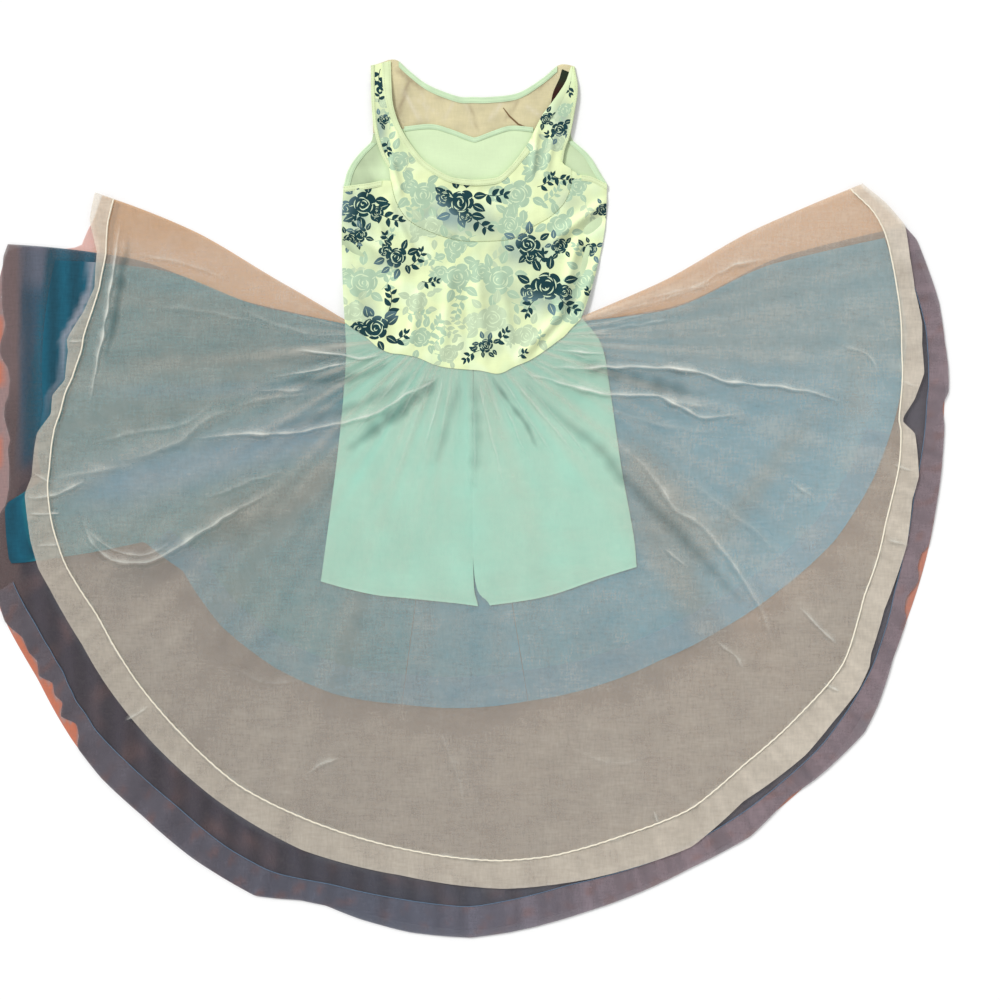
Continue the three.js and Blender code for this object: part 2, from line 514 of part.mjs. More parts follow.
function makeBodiceBack() {
  const last = BACK.length - 1;
  const columns = steps(0, last, last);
  const rows = steps(0, 1, PANEL_STEPS);
  const yokeLast = YOKE.length - 1;
  const neck = steps(NECK_BINDING_SPAN.from, NECK_BINDING_SPAN.to, BINDING_STEPS.neck);
  const { from, to } = SWEETHEART_SPAN;
  const sweetheart = steps(from, to, BINDING_STEPS.sweetheart);
  const { start, end } = BACK_ARMHOLE_SPAN;
  return [
    clothWall('back_panel', COLOURS.print, columns, rows,
      (place, v) => backPoint(place, v, LEVEL.floor)),
    clothWall('back_lining', COLOURS.lining, columns, rows,
      (place, v) => backPoint(place, v, LEVEL.lining)),
    clothWall('back_mesh_yoke', COLOURS.mesh, steps(0, yokeLast, yokeLast * 2), [0, 0.5, 1],
      (place, v) => yokePoint(place, v, LEVEL.floor)),
    clothWall('back_neck_binding', COLOURS.lining, neck, [0, 1],
      (place, v) => {
        const p = yokePoint(place, 0, LEVEL.lining);
        return { ...p, y: p.y - BINDING * v };
      }),
    clothWall('sweetheart_binding', COLOURS.lining, sweetheart, [-1, 1],
      (x, v) => ({
        x, y: lookUp(SWEETHEART, 'x', 'y', x) + SWEETHEART_HALF * v, z: LEVEL.front,
      })),
    backArmholeStrip('left_back_armhole_binding', 0, end, 1),
    backArmholeStrip('right_back_armhole_binding', last - end, last - start, -1),
  ];
}

// Skirts

function reach(table, column, angle) {
  return lookUp(table, 'angle', column, angle);
}

// Point of a skirt by its angle at the hem and its distance along that line.
// Along 0 is the waist, 1 is the stitched line and 2 the hem.
function fanPoint(fan, table, line, angle, along, waist) {
  const u = (angle - fan.from) / (fan.to - fan.from);
  const startX = mix(WAIST_ENDS.left, WAIST_ENDS.right, THREE.MathUtils.clamp(u, 0, 1));
  const startY = waist(startX);
  const stitched = reach(table, line, angle);
  const hem = reach(table, 'hem', angle);
  const radians = THREE.MathUtils.degToRad(angle);
  const endX = Math.sin(radians) * hem;
  const endY = -Math.cos(radians) * hem;
  const v = along <= 1 ? along * stitched / hem : mix(stitched / hem, 1, along - 1);
  const leftBow = fan.bowLeft * smoothstep(BOW_REACH, 0, u);
  const rightBow = fan.bowRight * smoothstep(1 - BOW_REACH, 1, u);
  return {
    x: mix(startX, endX, v),
    y: mix(startY, endY, v) + (leftBow + rightBow) * 4 * v * (1 - v),
  };
}

function hiddenWaist(x) {
  return backWaistY(x) - HIDDEN_SEAM;
}

function frontWaist(x) {
  return waistY(x) + WAIST_TUCK;
}

// Share of the full step up that the overskirt keeps, by its distance past an edge
function shelf(distance) {
  return 1 - smoothstep(SHELF_MARGIN, SHELF_MARGIN + SHELF_RUN, distance);
}

function overBlue(x, y) {
  const angle = THREE.MathUtils.radToDeg(Math.atan2(x, -y));
  return shelf(Math.hypot(x, y) - reach(BLUE_REACH, 'hem', angle));
}

function overShorts(x, y) {
  const left = lookUp([...SHORTS.left.start].reverse(), 'y', 'x', y);
  const right = lookUp([...SHORTS.right.end].reverse(), 'y', 'x', y);
  const hems = [...SHORTS.left.hem, ...SHORTS.right.hem];
  const hem = lookUp(hems, 'x', 'y', x);
  return shelf(Math.max(left - x, x - right, hem - y));
}

function foldHeight(x, y) {
  let height = 0;
  for (const fold of FOLDS) {
    const alongX = fold.x2 - fold.x1;
    const alongY = fold.y2 - fold.y1;
    const length = Math.hypot(alongX, alongY);
    const t = ((x - fold.x1) * alongX + (y - fold.y1) * alongY) / (length * length);
    const off = ((x - fold.x1) * alongY - (y - fold.y1) * alongX) / length;
    const ends = smoothstep(-FOLD_END, FOLD_END, t) * smoothstep(1 + FOLD_END, 1 - FOLD_END, t);
    height = Math.max(height, fold.height * ends * Math.exp(-((off / fold.width) ** 2)));
  }
  return height;
}

// Underside of the overskirt at a fan point
function overskirtPoint(angle, along) {
  const fan = FANS.ivory;
  const p = fanPoint(fan, IVORY_REACH, 'cord', angle, along, frontWaist);
  const part = Math.min(along, 1);
  const rim = smoothstep(RIM_START, RIM_END, part);
  const blue = overBlue(p.x, p.y);
  const turn = (angle - fan.from) / (fan.to - fan.from);
  const wave = 0.5 - 0.5 * Math.cos(2 * Math.PI * GATHERS * turn);
  const fade = smoothstep(GATHER_START, GATHER_FULL, part)
    * (1 - smoothstep(GATHER_FULL, GATHER_FADE, part));
  const z = LEVEL.front
    + LAYER * Math.max(rim, 2 * blue)
    + LAYER * overShorts(p.x, p.y)
    + GATHER_HEIGHT * wave * fade
    + foldHeight(p.x, p.y) * smoothstep(GATHER_START, FOLD_START, part);
  return { ...p, z };
}

// Angles of a skirt's sections: even steps, and every corner of its hem
function sections(table, from, to, spacing, clear) {
  const corners = table.map((row) => row.angle).filter((angle) => angle > from && angle < to);
  const even = steps(from, to, Math.round((to - from) / spacing));
  const apart = even.filter((angle) => angle === from || angle === to
    || corners.every((corner) => Math.abs(corner - angle) > clear));
  return [...apart, ...corners].sort((a, b) => a - b);
}

function flatFan(name, colour, fan, table, line, from, to, alongs, z) {
  const columns = sections(table, from, to, COLUMN_DEGREES, COLUMN_CLEAR);
  return clothWall(name, colour, columns, alongs,
    (angle, along) => ({ ...fanPoint(fan, table, line, angle, along, hiddenWaist), z }));
}

function makeSkirts() {
  const { ivory, coral, navy, blue } = FANS;
  const columns = sections(IVORY_REACH, ivory.from, ivory.to, OVERSKIRT_DEGREES, OVERSKIRT_CLEAR);
  const overskirtRows = [...GATHERED_TOP, ...steps(PLAIN_TOP, 1, OVERSKIRT_ROWS), 2];
  const gores = BLUE_GORES.map((gore) => flatFan(gore.name, COLOURS.blue, blue, BLUE_REACH,
    'fold', gore.from + GORE_GAP, gore.to - GORE_GAP, [0, 0.5, 1, 2], LEVEL.blue));
  return [
    flatFan('coral_underskirt', COLOURS.coral, coral, CORAL_REACH, 'hem', coral.from, coral.to,
      [0, 0.5, 1], LEVEL.floor),
    flatFan('navy_skirt', COLOURS.navy, navy, NAVY_REACH, 'fold', navy.from, navy.to,
      [0, 0.5, 1, 2], LEVEL.navy),
    flatFan('navy_hem_band', COLOURS.navy, navy, NAVY_REACH, 'fold', NAVY_BAND.from,
      NAVY_BAND.to, [1, 2], LEVEL.navy + LAYER),
    ...gores,
    flatFan('blue_hem_band', COLOURS.blue, blue, BLUE_REACH, 'fold', BLUE_BAND.from,
      BLUE_BAND.to, [1, 2], LEVEL.blue + LAYER),
    clothWall('ivory_overskirt', COLOURS.ivory, columns, overskirtRows, overskirtPoint),
    clothWall('ivory_hem_band', COLOURS.ivory, columns, [1, 2], (angle, along) => {
      const p = overskirtPoint(angle, along);
      return { ...p, z: p.z + LAYER };
    }),
  ];
}

// Shorts

// Point on an edge by its part of the edge's length
function onEdge(points, part) {
  const lengths = points.slice(1).map((p, i) => Math.hypot(p.x - points[i].x, p.y - points[i].y));
  let rest = part * lengths.reduce((sum, length) => sum + length, 0);
  let i = 0;
  while (i < lengths.length - 1 && rest > lengths[i]) {
    rest -= lengths[i];
    i += 1;
  }
  const t = Math.min(rest / lengths[i], 1);
  return { x: mix(points[i].x, points[i + 1].x, t), y: mix(points[i].y, points[i + 1].y, t) };
}

// Point inside four edges: waist and hem run along u, start and end run along v
function betweenEdges(leg, u, v) {
  const waist = onEdge(leg.waist, u);
  const hem = onEdge(leg.hem, u);
  const start = onEdge(leg.start, v);
  const end = onEdge(leg.end, v);
  const corners = [leg.waist[0], leg.waist[leg.waist.length - 1], leg.hem[0],
    leg.hem[leg.hem.length - 1]];
  const blend = (axis) => mix(waist[axis], hem[axis], v) + mix(start[axis], end[axis], u)
    - mix(mix(corners[0][axis], corners[1][axis], u), mix(corners[2][axis], corners[3][axis], u), v);
  return { x: blend('x'), y: blend('y') };
}

function makeShorts() {
  const places = steps(0, 1, PANEL_STEPS);
  const backDrop = (x) => Math.max(0, backWaistY(x) - waistY(x));
  return Object.entries(SHORTS).flatMap(([side, leg]) => [
    clothWall(`shorts_back_${side}_leg`, COLOURS.mint, places, places, (u, v) => {
      const p = betweenEdges(leg, u, v);
      return { x: p.x, y: p.y + (backDrop(p.x) - HIDDEN_SEAM) * (1 - v), z: LEVEL.shortsBack };
    }),
    clothWall(`shorts_front_${side}_leg`, COLOURS.mint, places, places, (u, v) => {
      const p = betweenEdges(leg, u, v);
      return { x: p.x, y: p.y + WAIST_TUCK * (1 - v), z: LEVEL.shortsFront };
    }),
  ]);
}

// The whole dress, with its origin at the bottom centre of its box
const dress = new THREE.Group();
dress.add(...makeSkirts(), ...makeShorts(), ...makeBodiceBack(), ...makeBodiceFront());
const box = new THREE.Box3().setFromObject(dress);
const middle = box.getCenter(new THREE.Vector3());
dress.position.set(-middle.x, -middle.y, -box.min.z);

export default dress;
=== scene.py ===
# Looks of the dance competition dress, laid face up on a pale floor.
# Lengths in the tables are millimetres from the middle of the front waist, with x to the
# viewer's right and y towards the neck. Meshes are in metres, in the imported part's frame.
import math

import bpy
import numpy as np
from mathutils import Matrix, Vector
from mathutils.geometry import delaunay_2d_cdt


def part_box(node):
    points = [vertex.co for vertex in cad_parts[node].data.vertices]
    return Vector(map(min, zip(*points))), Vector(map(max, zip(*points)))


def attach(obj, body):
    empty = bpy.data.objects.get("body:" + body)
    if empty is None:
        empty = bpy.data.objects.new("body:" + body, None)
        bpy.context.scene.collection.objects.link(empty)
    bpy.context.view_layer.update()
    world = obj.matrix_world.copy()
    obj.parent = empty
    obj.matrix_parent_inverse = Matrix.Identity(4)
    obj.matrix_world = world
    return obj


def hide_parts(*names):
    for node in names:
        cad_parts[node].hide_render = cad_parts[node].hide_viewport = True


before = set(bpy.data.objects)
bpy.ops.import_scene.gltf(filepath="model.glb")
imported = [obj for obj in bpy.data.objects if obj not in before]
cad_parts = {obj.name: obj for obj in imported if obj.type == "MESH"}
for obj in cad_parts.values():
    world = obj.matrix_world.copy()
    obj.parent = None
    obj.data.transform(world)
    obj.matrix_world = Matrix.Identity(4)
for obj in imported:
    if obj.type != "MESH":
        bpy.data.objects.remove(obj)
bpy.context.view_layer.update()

# Cloth and stacking, as in the part
MM = 0.001
WALL = 1.0          # thickness of a wall in the part
LAYER = 1.3         # height that each layer takes
LEVEL = {
    "lining": LAYER, "navy": LAYER, "front": 2 * LAYER, "blue": 2 * LAYER,
    "shorts_back": 3 * LAYER, "shorts_front": 4 * LAYER, "bodice_edge": 6 * LAYER,
}
KNIT = 0.8          # thickness of the stretch knit
NET = 0.5           # thickness of the nude mesh
SHEET_RISE = 0.8    # height of a sheer sheet over the level that it lies on
THINNEST = 0.002    # least colour and cover of a sheer layer

# The yoke's left and top edges in the tables set where the tables lie in the frame.
YOKE_LEFT = -124
YOKE_TOP = 338
yoke_low, yoke_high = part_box("back_mesh_yoke")
SHIFT = np.array([yoke_low.x / MM - YOKE_LEFT, yoke_high.y / MM - YOKE_TOP, 0])

# Photograph: one pixel on the floor, and the pixel that lies on the middle of the front waist
PIXEL = 1.25
PHOTO_SIDE = 1000
WAIST_PIXEL = (470, 330)

# Bodice. Columns of the front: neck x, neck y, edge x, edge y, rim width.
LEFT_STRAP = [
    (-99, 336, -124, 330, 12), (-98, 306, -124, 305, 11), (-96, 281, -123, 278, 8),
    (-89, 258, -120, 249, 7.5), (-79, 239, -112, 221, 7.5), (-66, 221, -102, 202, 7.5),
]
BUST = [
    (-55, 209, -99, 186, 7.5), (-40, 199, -92, 159, 7.5), (-25, 191, -76, 136, 7.5),
    (-10, 188, -45, 120, 7.5), (6, 187, -12, 111, 7.5), (21, 188, 21, 110, 7.5),
    (36, 191, 56, 114, 7.5), (49, 202, 80, 129, 7.5), (60, 215, 102, 142, 7.5),
    (70, 229, 119, 160, 9), (76, 239, 126, 180, 11), (80, 248, 127, 199, 12),
]
RIGHT_STRAP = [
    (84, 256, 116, 208, 13), (91, 269, 119, 225, 13), (101, 282, 125, 242, 12),
    (111, 296, 131, 272, 9), (120, 311, 135, 302, 6), (126, 329, 131, 329, 2),
]
FRONT = LEFT_STRAP + BUST + RIGHT_STRAP
# Row of the front where the right strap starts to turn
TURN_ROW = len(LEFT_STRAP) + len(BUST) - 2
SEAM_PULL = 0.45            # gap left at the seam under the bust
ARMHOLE_BINDING = 4.5       # widths of the bindings
BINDING = 7.5
UNDERARM_BINDING = 7
STITCH_PITCH = 3.2
STITCH_LENGTH = 2.2
STITCH_RADIUS = 0.22
# Waist of the front: x, y
FRONT_WAIST = [
    (-156, 9), (-144, 0), (-130, -9), (-115, -22), (-100, -29), (-84, -31), (-65, -35),
    (-41, -45), (-15, -49), (12, -51), (36, -55), (56, -46), (75, -38), (91, -28),
    (102, -20), (110, -14), (118, -8), (126, 1), (138, 13),
]
# Sides of the lower panel and of the back: x, y
LEFT_SIDE = [(-158, 179), (-160, 137), (-160, 94), (-158.5, 50), (-156, 9)]
RIGHT_SIDE = [(138, 13), (148, 40), (160, 83), (169, 131), (171, 182)]
UNDERARM_LEFT = [(-158, 179), (-142, 181), (-126, 183), (-110, 186)]
UNDERARM_RIGHT = [(127, 199), (139, 193), (152, 191), (171, 182)]
BACK_WAIST = [
    (-156, 9), (-130, -4), (-92, -19), (-56, -28), (0, -32), (50, -28), (74, -21),
    (108, -8), (122, 2), (138, 13),
]
LEFT_BACK_ARM = [(-158, 179), (-152, 200), (-140, 218), (-124, 234), (-121, 245)]
RIGHT_BACK_ARM = [(126, 245), (129, 236), (148, 219), (159, 202), (171, 182)]
SWEETHEART = [
    (-121, 245), (-82, 251), (-49, 254), (-25, 248), (2, 238), (9, 238), (30, 246),
    (51, 252), (79, 250), (126, 245),
]
BACK_NECK = [
    (-124, 330), (-111, 334), (-99, 338), (-89, 336), (-76, 324), (-52, 306), (-16, 292),
    (4, 291), (24, 291), (60, 296), (90, 314), (109, 330), (120, 332), (131, 329),
]

# How the front stands off the back: its loose middle, the climb at the waist, the shoulders
FRONT_CROWN = 3
CROWN_RUN = 70
WAIST_RISE = (66, 14)
SHOULDER_DROP = (285, 325)

# Shorts: a leg's rough size, and x, y along each edge of a leg
LEG_WIDTH = 190
LEG_LENGTH = 320
LEG_EDGES = {
    "left": {
        "waist": [(-156, 9), (-130, -9), (-100, -29), (-65, -35), (-41, -45), (-15, -49),
                  (4, -51)],
        "hem": [(-186, -314), (-158, -322), (-118, -331), (-79, -335), (-40, -339),
                (-12, -342), (10, -345)],
        "start": [(-156, 9), (-155, -46), (-165, -156), (-186, -314)],
        "end": [(4, -51), (4, -296), (10, -345)],
    },
    "right": {
        "waist": [(4.5, -51), (36, -55), (56, -46), (75, -38), (102, -20), (138, 13)],
        "hem": [(25, -344), (62, -339), (90, -334), (118, -326), (160, -311), (208, -296)],
        "start": [(4.5, -51), (4.5, -296), (25, -344)],
        "end": [(138, 13), (164, -22), (175, -79), (189, -174), (204, -256), (208, -296)],
    },
}

# Skirts. Reach from the front waist by angle from straight down: angle, reach.
IVORY_HEM = [
    (-110.1, 498), (-106.2, 494), (-101.8, 475), (-96.4, 471), (-92.5, 483), (-88.6, 503),
    (-86.9, 502), (-82.9, 509), (-81.1, 527), (-78.6, 533), (-76.6, 555), (-75, 562),
    (-71.5, 576), (-69.7, 592), (-67.3, 599), (-64.3, 608), (-61.1, 615), (-58.3, 616),
    (-54.7, 619), (-51.1, 623), (-46.3, 633), (-37.4, 650), (-28, 667), (-18, 682),
    (-7.3, 686), (3.6, 699), (12, 701), (23.2, 702), (30.1, 680), (38.2, 676), (42.7, 667),
    (47.2, 661), (49.9, 652), (51.1, 643), (55.9, 624), (60, 615), (63.6, 608), (68.9, 591),
    (71.9, 589), (76.9, 570), (78, 551), (78.8, 552), (81, 561), (84.5, 569), (88.1, 564),
    (90.9, 564), (95.1, 557), (99.3, 556), (103.5, 558), (107, 542), (110.4, 522),
]
IVORY_CORD = [
    (-110.1, 460), (-100.7, 458), (-94.6, 464), (-87, 478), (-80.8, 507), (-75.1, 533),
    (-69, 557), (-65.3, 568), (-59.6, 578), (-52.4, 580), (-47.8, 590), (-42.9, 601),
    (-36.3, 614), (-26.7, 635), (-15.6, 643), (-7.7, 650), (3, 661), (8.8, 662), (16.7, 656),
    (24.9, 655), (32.4, 637), (40.5, 628), (44.5, 625), (48.3, 621), (52.1, 605), (55.9, 589),
    (60.4, 579), (65.2, 566), (73.5, 555), (80, 542), (86.8, 533), (93.7, 530), (101.8, 525),
    (106.2, 518), (110.4, 498),
]
NAVY_HEM = [
    (-100.5, 587), (-99, 590), (-93.7, 586), (-92.2, 584), (-90.6, 580), (-89.5, 583),
    (-88.7, 586), (-87.3, 588), (-86.3, 585), (-85.3, 579), (-83.8, 578), (-81.9, 582),
    (-81, 588), (-79.5, 592), (-77.6, 591), (-76.5, 590), (-75.6, 596), (-73.5, 600),
    (-71, 609), (-69.3, 620), (-68.6, 632), (-64, 656), (-60.2, 679), (-57.9, 686),
    (-57.1, 684), (-55.5, 678), (-53.8, 683), (-52.6, 680), (-51.2, 691), (-49.8, 682),
    (-48.7, 691), (-47.5, 689), (-46.7, 704), (-45, 695), (-43.9, 704), (-43.3, 716),
    (-39.4, 725), (-33.9, 732), (-27.9, 745), (-20.8, 756), (-18.8, 750), (-16.6, 743),
    (-14.1, 741), (-10.8, 748), (-5.7, 756), (0, 759), (3.7, 754), (7.8, 747), (11.3, 741),
    (16.6, 734), (22.4, 726), (29, 723), (34.4, 706), (37.2, 708), (41.2, 706), (44.5, 704),
    (47.5, 692), (52.2, 669), (56.5, 654), (57.2, 645), (58.4, 639), (59.8, 641), (60.8, 642),
    (62.3, 631), (63.7, 629), (64.8, 633), (67.7, 626), (75.1, 611), (78.8, 604), (80.2, 599),
    (81.2, 598), (82.6, 603), (85.6, 599), (88.7, 593), (93.3, 587), (97.2, 578),
    (101.5, 569), (103.4, 558),
]
NAVY_FOLD = [
    (-100.5, 560), (-90, 560), (-80, 570), (-72, 600), (-66, 640), (-61.3, 648), (-57.2, 650),
    (-50.4, 659), (-47.3, 671), (-43, 681), (-37.9, 686), (-31.5, 695), (-24.9, 712),
    (-19.8, 719), (-14, 712), (-7, 714), (0, 719), (6.4, 708), (10, 702), (20, 700), (30, 690),
    (40, 678), (50, 653), (60, 614), (70, 585), (80, 574), (90, 564), (103.4, 530),
]
CORAL_HEM = [
    (-109.8, 489), (-106.5, 490), (-104.5, 494), (-101.4, 498), (-100.5, 586), (-90, 600),
    (-80, 609), (-70, 636), (-60, 682), (-57.5, 686), (-54, 690), (-51.1, 694), (-46.6, 707),
    (-43.4, 716), (-40, 721), (-30, 737), (-25, 750), (-20.8, 756), (-17, 742), (-10, 741),
    (0, 751), (10, 736), (20, 724), (30, 716), (40, 702), (50, 676), (56.5, 655), (60, 646),
    (64.8, 634), (70, 621), (80, 601), (90, 592), (100, 564), (104, 554), (110.1, 520),
]
BLUE_HEM = [
    (-99.5, 525), (-90, 532), (-80, 541), (-74, 562), (-70.5, 566), (-69.5, 620), (-66, 634),
    (-63, 645), (-61.5, 600), (-60, 560), (-57, 485), (-50, 468), (-40, 483), (-30, 487),
    (-20, 485), (-10.3, 475), (0, 472), (8.9, 469), (20, 472), (30, 476), (40, 488),
    (50, 505), (60, 526), (70, 537), (80, 543), (90, 546), (102.5, 530),
]
BLUE_FOLD = [
    (-99.5, 500), (-90, 505), (-80, 515), (-70.5, 535), (-69.5, 560), (-63, 560),
    (-61.5, 520), (-60, 480), (-57, 445), (-50, 430), (-40, 443), (-30, 447), (-20, 444),
    (-10.3, 434), (0, 430), (8.9, 427), (20, 432), (30, 437), (40, 448), (50, 465),
    (60, 486), (70, 498), (80, 505), (90, 510), (102.5, 500),
]
WAIST_ENDS = (-156, 138)    # x where the skirts start and end at the waist
BOW_REACH = 0.2             # share of a skirt over which its side edge bows
HIDDEN_SEAM = 1             # how far the hidden waists stop short of the back's waist
WAIST_TUCK = 4              # how far the overskirt and shorts reach under the front
# Skirts: first and last angle, rise of the left and of the right edge near the waist and
# far from it, reach of the fold line and reach of the hem
FANS = {
    "ivory": {"from": -110.1, "to": 110.4, "bows": ((8, 15), (-5, 7)), "fold": IVORY_CORD,
              "hem": IVORY_HEM},
    "coral": {"from": -110.1, "to": 110.4, "bows": ((8, 15), (-5, 7)), "fold": CORAL_HEM,
              "hem": CORAL_HEM},
    "navy": {"from": -100.5, "to": 103.4, "bows": ((-2, 20), (-20, 8)), "fold": NAVY_FOLD,
             "hem": NAVY_HEM},
    "blue": {"from": -99.5, "to": 102.5, "bows": ((-2, 18), (-20, 6)), "fold": BLUE_FOLD,
             "hem": BLUE_HEM},
}
# First and last angle of the gores and of the hem folds
GORES = {
    "blue_skirt_left_gore": (-99.5, -10.35),
    "blue_skirt_centre_gore": (-10.25, 8.85),
    "blue_skirt_right_gore": (8.95, 102.5),
}
NAVY_BAND = (-61, 103.4)
BLUE_BAND = (-56, 76)
FOLD_ROWS = np.linspace(1, 2, 8)

# Overskirt form, as in the part
SHELF_MARGIN = 48           # how far the cloth stays up past the edge of what is under it
SHELF_RUN = 60              # and the run in which it comes down
GATHERS = 24
GATHER_HEIGHT = 2.2
GATHER_FADE = 0.32          # part of the skirt's length where the gathers end
# Broad folds: x1, y1, x2, y2, height, width
FOLDS = [
    (-339, -135, -158, -116, 6, 16), (-158, -116, -31, -60, 5, 12),
    (-244, -30, -118, -34, 5, 12), (-260, -64, -130, -42, 4, 12),
    (-425, -162, -300, -98, 6, 18), (-518, -199, -440, -180, 5, 20),
    (-476, -262, -396, -290, 7, 20), (-410, -290, -290, -226, 7, 20),
    (59, -62, 176, -80, 5, 12), (176, -80, 344, -106, 6, 16), (100, -44, 274, -50, 5, 12),
    (274, -50, 469, -92, 6, 18), (185, -141, 290, -244, 6, 16), (290, -244, 379, -398, 7, 20),
    (379, -398, 448, -440, 5, 20), (411, -346, 465, -398, 4, 20), (465, -20, 512, -58, 4, 18),
]


# Small tools

def smooth(start, end, value):
    """0 before the start, 1 past the end, and an eased climb between."""
    t = np.clip((np.asarray(value, float) - start) / (end - start), 0, 1)
    return t * t * (3 - 2 * t)


def mix(a, b, t):
    """From a at 0 to b at 1."""
    return a + (b - a) * t


def look_up(table, at, soften=0.0):
    """Value of a table at a place, with its corners rounded over a width of 2 * soften."""
    rows = np.array(table, float)
    if soften == 0:
        return np.interp(at, rows[:, 0], rows[:, 1])
    offsets = np.linspace(-soften, soften, 7)
    return sum(np.interp(at + d, rows[:, 0], rows[:, 1]) for d in offsets) / len(offsets)


def run_along(points):
    """Distance from the first point to each point along a path."""
    steps = np.linalg.norm(np.diff(points, axis=0), axis=1)
    return np.concatenate([[0], np.cumsum(steps)])


def sampled(points, run, at):
    """Points of a path at some distances along it."""
    return np.column_stack([np.interp(at, run, column) for column in points.T])


def spline(points, spacing=None, count=None):
    """Smooth curve through the points, evenly spaced."""
    p = np.array(points, float)
    p = np.vstack([2 * p[0] - p[1], p, 2 * p[-1] - p[-2]])
    t = np.linspace(0, 1, 12, endpoint=False)[:, None]
    parts = []
    for a, b, c, d in zip(p[:-3], p[1:-2], p[2:-1], p[3:]):
        parts.append(0.5 * (2 * b + (c - a) * t + (2 * a - 5 * b + 4 * c - d) * t ** 2
                            + (3 * b - a - 3 * c + d) * t ** 3))
    fine = np.vstack(parts + [p[-2][None]])
    run = run_along(fine)
    if count is None:
        count = max(2, int(round(run[-1] / spacing)) + 1)
    return sampled(fine, run, np.linspace(0, run[-1], count))


def sides_of(path):
    """Unit vectors to the left of a flat path."""
    ahead = np.gradient(path, axis=0)
    ahead /= np.maximum(np.linalg.norm(ahead, axis=1, keepdims=True), 1e-9)
    return np.column_stack([-ahead[:, 1], ahead[:, 0]])


def field(x, y, size, seed):
    """Smooth random field of about -1 to 1, with features of that size."""
    pick = np.random.default_rng(seed)
    total = 0
    for _ in range(10):
        turn, phase = pick.uniform(0, 2 * math.pi, 2)
        length = size * pick.uniform(0.7, 1.7)
        total = total + np.sin((x * math.cos(turn) + y * math.sin(turn)) * 2 * math.pi / length
                               + phase)
    return total / 4


def from_srgb(red, green, blue):
    """Linear colour of an 8-bit display colour."""
    c = np.array([red, green, blue]) / 255
    return np.where(c <= 0.04045, c / 12.92, ((c + 0.055) / 1.055) ** 2.4)


def rgba(colour, cover=1.0, shape=()):
    """Colour and cover as one array, spread over the given shape."""
    out = np.ones(tuple(shape) + (4,))
    out[..., :3] = colour
    out[..., 3] = cover
    return out


def plain(colour):
    """Look of one colour everywhere, as a function of place."""
    return lambda x, y: rgba(colour, 1, np.shape(x))


def stacked(x, y, z):
    """Grid of places as a list of points."""
    return np.column_stack([x.ravel(), y.ravel(), np.broadcast_to(z, x.shape).ravel()])


# Meshes

def show(name, data):
    """Object of the data, in the scene."""
    made = bpy.data.objects.new(name, data)
    bpy.context.scene.collection.objects.link(made)
    return made


def boundary_edges(faces):
    """Directed edges that only one face has."""
    faces = np.asarray(faces)
    a = faces.ravel()
    b = np.roll(faces, -1, axis=1).ravel()
    span = int(faces.max()) + 1
    forward = a * span + b
    backward = b * span + a
    alone = ~np.isin(forward, backward)
    return a[alone], b[alone]


def finish_mesh(name, vertices, faces, looks=None, domain="POINT", rim_from=None):
    """Object of a mesh with a look for each point or corner. Faces from rim_from on have
    sharp edges."""
    mesh = bpy.data.meshes.new(name)
    mesh.from_pydata(((vertices + SHIFT) * MM).tolist(), [], faces)
    mesh.polygons.foreach_set("use_smooth", [True] * len(mesh.polygons))
    if rim_from is not None:
        edge_of_loop = np.zeros(len(mesh.loops), np.int32)
        mesh.loops.foreach_get("edge_index", edge_of_loop)
        starts = np.zeros(len(mesh.polygons), np.int32)
        mesh.polygons.foreach_get("loop_start", starts)
        sharp = np.zeros(len(mesh.edges), bool)
        sharp[edge_of_loop[starts[rim_from]:]] = True
        mesh.attributes.new("sharp_edge", "BOOLEAN", "EDGE").data.foreach_set("value", sharp)
    if looks is not None:
        layer = mesh.color_attributes.new("look", "FLOAT_COLOR", domain)
        layer.data.foreach_set("color", np.asarray(looks, np.float32).ravel())
    mesh.update()
    return show(name, mesh)


def shell(name, top, faces, thickness, looks):
    """Closed shell of cloth under triangles or quads, with looks by point or by corner."""
    count = len(top)
    below = top.copy()
    below[:, 2] -= thickness
    a, b = boundary_edges(faces)
    rim = np.column_stack([b, a, a + count, b + count])
    under = faces[:, ::-1] + count
    all_faces = faces.tolist() + under.tolist() + rim.tolist()
    by_corner = looks.ndim == 3
    if by_corner:
        of_vertex = np.zeros((count, 4))
        of_vertex[faces.ravel()] = looks.reshape(-1, 4)
        parts = [looks, looks[:, ::-1], of_vertex[rim % count]]
        looks = np.vstack([part.reshape(-1, 4) for part in parts])
    else:
        looks = np.vstack([looks, looks])
    return finish_mesh(name, np.vstack([top, below]), all_faces, looks,
                       "CORNER" if by_corner else "POINT", 2 * len(faces))


def grid_faces(across, down):
    """Quads of a grid whose first index turns anticlockwise and whose second runs outwards."""
    i, j = np.meshgrid(np.arange(across - 1), np.arange(down - 1), indexing="ij")
    a = (i * down + j).ravel()
    return np.column_stack([a, a + 1, a + down + 1, a + down])


def sheer_sheet(name, slot, node, x, y, z, colour, cover):
    """One sheer layer on a grid, a surface without thickness like the organza it shows."""
    looks = rgba(colour, np.clip(cover, 0, 1), x.shape).reshape(-1, 4)
    piece = finish_mesh(name, stacked(x, y, z), grid_faces(*x.shape).tolist(),
                        np.clip(looks, THINNEST, 1))
    return dress_up(piece, ORGANZA_CLOTH, [node])


